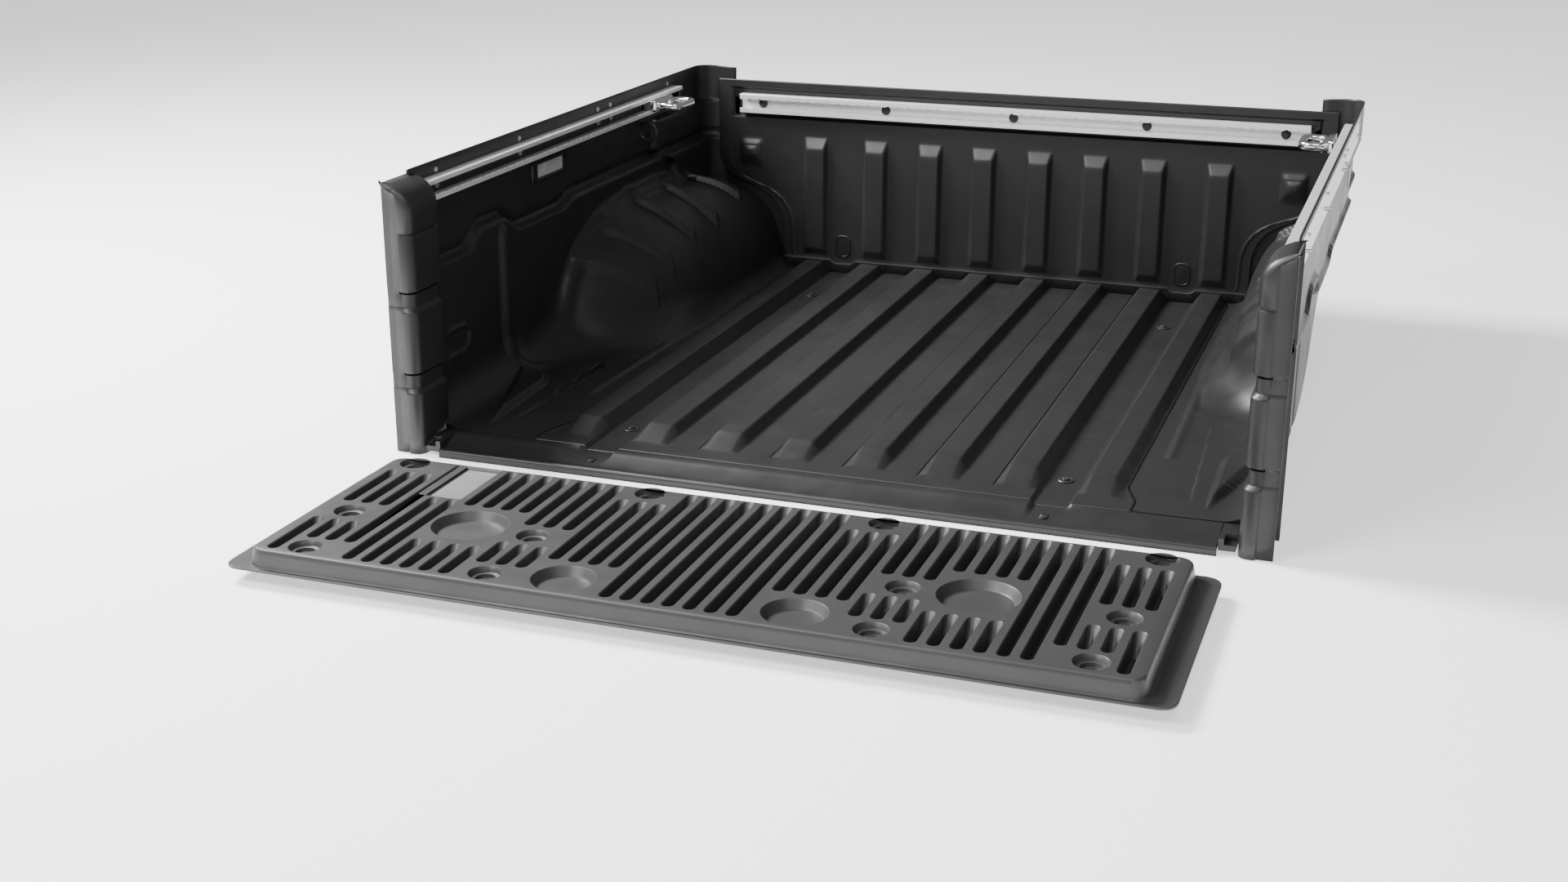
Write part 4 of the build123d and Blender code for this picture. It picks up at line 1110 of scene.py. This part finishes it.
def cleat_block(levels, radius, segments):
    """Block bridged between rounded rectangles, from (x, half_y, half_z) out of the rail's face."""
    rings = []
    for x, half_y, half_z in levels:
        outline = rounded_loop(rectangle(-half_y, half_y, -half_z, half_z), radius, segments)
        rings.append([(CLEAT_FACE + x, CLEAT_Y + y, CLEAT_Z + z) for y, z in outline])
    return stack(rings)


def build_cleats():
    shape = join(flipped(cleat_block(CLEAT_FOOT, 6, 4)), cleat_ring(), cleat_block(CLEAT_NECK, 1.5, 2))
    head = flipped(lathe(((8.6, 12), (8.6, 4), (7.6, 1), (5.5, 0), (3.4, 0), (3.0, 3)),
                         (CLEAT_FACE - 30, CLEAT_Y, CLEAT_Z), "x", 36, lobes=(4, 5)))
    for name, side in SIDES:
        node = name + "_cleat_loop"
        make_piece(node + "_casting", mirrored(shape, side), name + "_cleat", "cast_alloy", (node,), 50)
        make_piece(name + "_cleat_bolt_cap", mirrored(head, side), name + "_cleat_screw", "zinc_steel")


# ---------------------------------------------------------------- small parts
FLOOR_SCREWS = tuple((side * CHANNEL_X, y) for side in (-1, 1) for y in (131.0, 1184.0))
SILL_SCREW_Y = -44.0
SILL_SCREW_SEAT = -2.6
PLUG_X = 413.0
PLUG_Z = 66.0
LAMP_Y = (510.0, 632.0)
LAMP_Z = (380.0, 408.0)
BEZEL_RINGS = ((24, 7, 0), (24, 7, 2.5), (22, 5.4, 4.6), (4, 2.5, 5.2), (0.5, 0.5, 4.2), (0, 0, -2))


def build_small_parts():
    washers = [lathe(((15, 0), (15, 1.2), (13.6, 2.4), (10.2, 2.6), (9.4, 1.4)), (x, y, 0.1), "z", 36)
               for x, y in FLOOR_SCREWS]
    make_piece("floor_washer_rings", join(*washers), "bed", "black_steel", ("floor_washers",))
    heads = [screw_shape(x, y, 1.4, 7.4) for x, y in FLOOR_SCREWS]
    heads += [screw_shape(side * CHANNEL_X, SILL_SCREW_Y, SILL_SCREW_SEAT, 7.6) for side in (-1, 1)]
    make_piece("floor_screw_heads", join(*heads), "bed", "black_steel")
    plugs = []
    for side in (-1, 1):
        rings = []
        for grow, out in ((20, 0), (20, 1.6), (18.4, 2.6), (16.6, 2.6), (15.6, 1.2), (13, 1.4), (6, 2.2)):
            outline = rounded_loop(rectangle(-grow, grow, -grow - 8, grow + 8), grow * 0.98, 8)
            rings.append([(side * PLUG_X + u, BED_LENGTH - out, PLUG_Z + v) for u, v in outline])
        plugs.append(stack(rings))
    make_piece("front_plug_caps", join(*plugs), "bed", "black_trim", ("front_plugs",))


def build_lamp():
    """Frame round the lens in the left wall."""
    rings = []
    for grow_y, grow_z, out in BEZEL_RINGS:
        outline = rounded_loop(grown(LAMP_Y, LAMP_Z, grow_y, grow_z), 5, 4)
        rings.append([(-UPPER_WALL + out, y, z) for y, z in outline])
    make_piece("lamp_bezel_frame", stack(rings, cap_last=False), "bed", "black_trim", ("lamp_bezel",))


# ---------------------------------------------------------------- stage
FLOOR_REACH = 60.0                         # metres
PAPER_GLOW = 0.9
WORLD_STRENGTH = 0.19
LIGHTS = (                                 # name, place, size, power
    ("left_softbox", (-3.1, 0.2, 3.3), (1.4, 1.4), 640),
    ("rear_softbox", (-2.0, -3.3, 3.4), (2.0, 1.4), 190),
    ("right_softbox", (1.5, -3.2, 3.8), (2.4, 1.6), 75),
)
LIGHT_AIM = (0, 0, 0.2)
CAMERA_PLACE = (1.027, -3.4485, 1.200)
CAMERA_TURN = (19.49, 18.93, 0.12)         # azimuth, elevation and roll, in degrees
CAMERA_LENS = 45.15


def build_studio_floor():
    floor = bpy.data.meshes.new("studio_floor")
    corners = rectangle(-FLOOR_REACH, FLOOR_REACH, -FLOOR_REACH, FLOOR_REACH)
    floor.from_pydata(at_height(corners, 0), [], [(0, 1, 2, 3)])
    paper = bpy.data.materials.new("studio_paper")
    paper.use_nodes = True
    shader = paper.node_tree.nodes["Principled BSDF"]
    shader.inputs["Base Color"].default_value = (0.95, 0.95, 0.95, 1)
    shader.inputs["Roughness"].default_value = 0.9
    shader.inputs["Emission Color"].default_value = (1, 1, 1, 1)
    shader.inputs["Emission Strength"].default_value = PAPER_GLOW
    floor.materials.append(paper)
    add_object("studio_floor", floor)


def build_light():
    """Even white surroundings and three soft boxes."""
    world = bpy.data.worlds.new("studio_world")
    world.use_nodes = True
    background = world.node_tree.nodes["Background"]
    background.inputs["Color"].default_value = (1, 1, 1, 1)
    background.inputs["Strength"].default_value = WORLD_STRENGTH
    bpy.context.scene.world = world
    for name, place, size, power in LIGHTS:
        light = bpy.data.lights.new(name, "AREA")
        light.shape = "RECTANGLE"
        light.size, light.size_y = size
        light.energy = power
        lamp = add_object(name, light)
        lamp.location = place
        lamp.rotation_euler = (Vector(LIGHT_AIM) - Vector(place)).to_track_quat("-Z", "Y").to_euler()


def build_camera():
    camera = bpy.data.cameras.new("photo_camera")
    camera.sensor_width = 36.0
    camera.lens = CAMERA_LENS
    camera_object = add_object("photo_camera", camera)
    camera_object.location = CAMERA_PLACE
    azimuth, elevation, roll = (math.radians(angle) for angle in CAMERA_TURN)
    view = Vector((-math.sin(azimuth) * math.cos(elevation), math.cos(azimuth) * math.cos(elevation),
                   -math.sin(elevation)))
    aim = view.to_track_quat("-Z", "Y").to_matrix().to_4x4()
    camera_object.rotation_euler = aim.to_euler()
    camera_object.rotation_euler.rotate_axis("Z", roll)
    bpy.context.scene.camera = camera_object


build_floor()
build_side_liners()
build_front_panel()
build_tailgate()
build_tailgate_details()
build_sill()
build_posts()
build_side_rails()
build_front_rail()
build_cleats()
build_small_parts()
build_lamp()

# The frame's own pieces take the material of their slot.
for subpart in frame["record"]["subparts"]:
    node = frame["nodes"][subpart["node"]]
    node.data.materials.clear()
    node.data.materials.append(MATERIALS[subpart["material_slot"]])

build_studio_floor()
build_light()
build_camera()
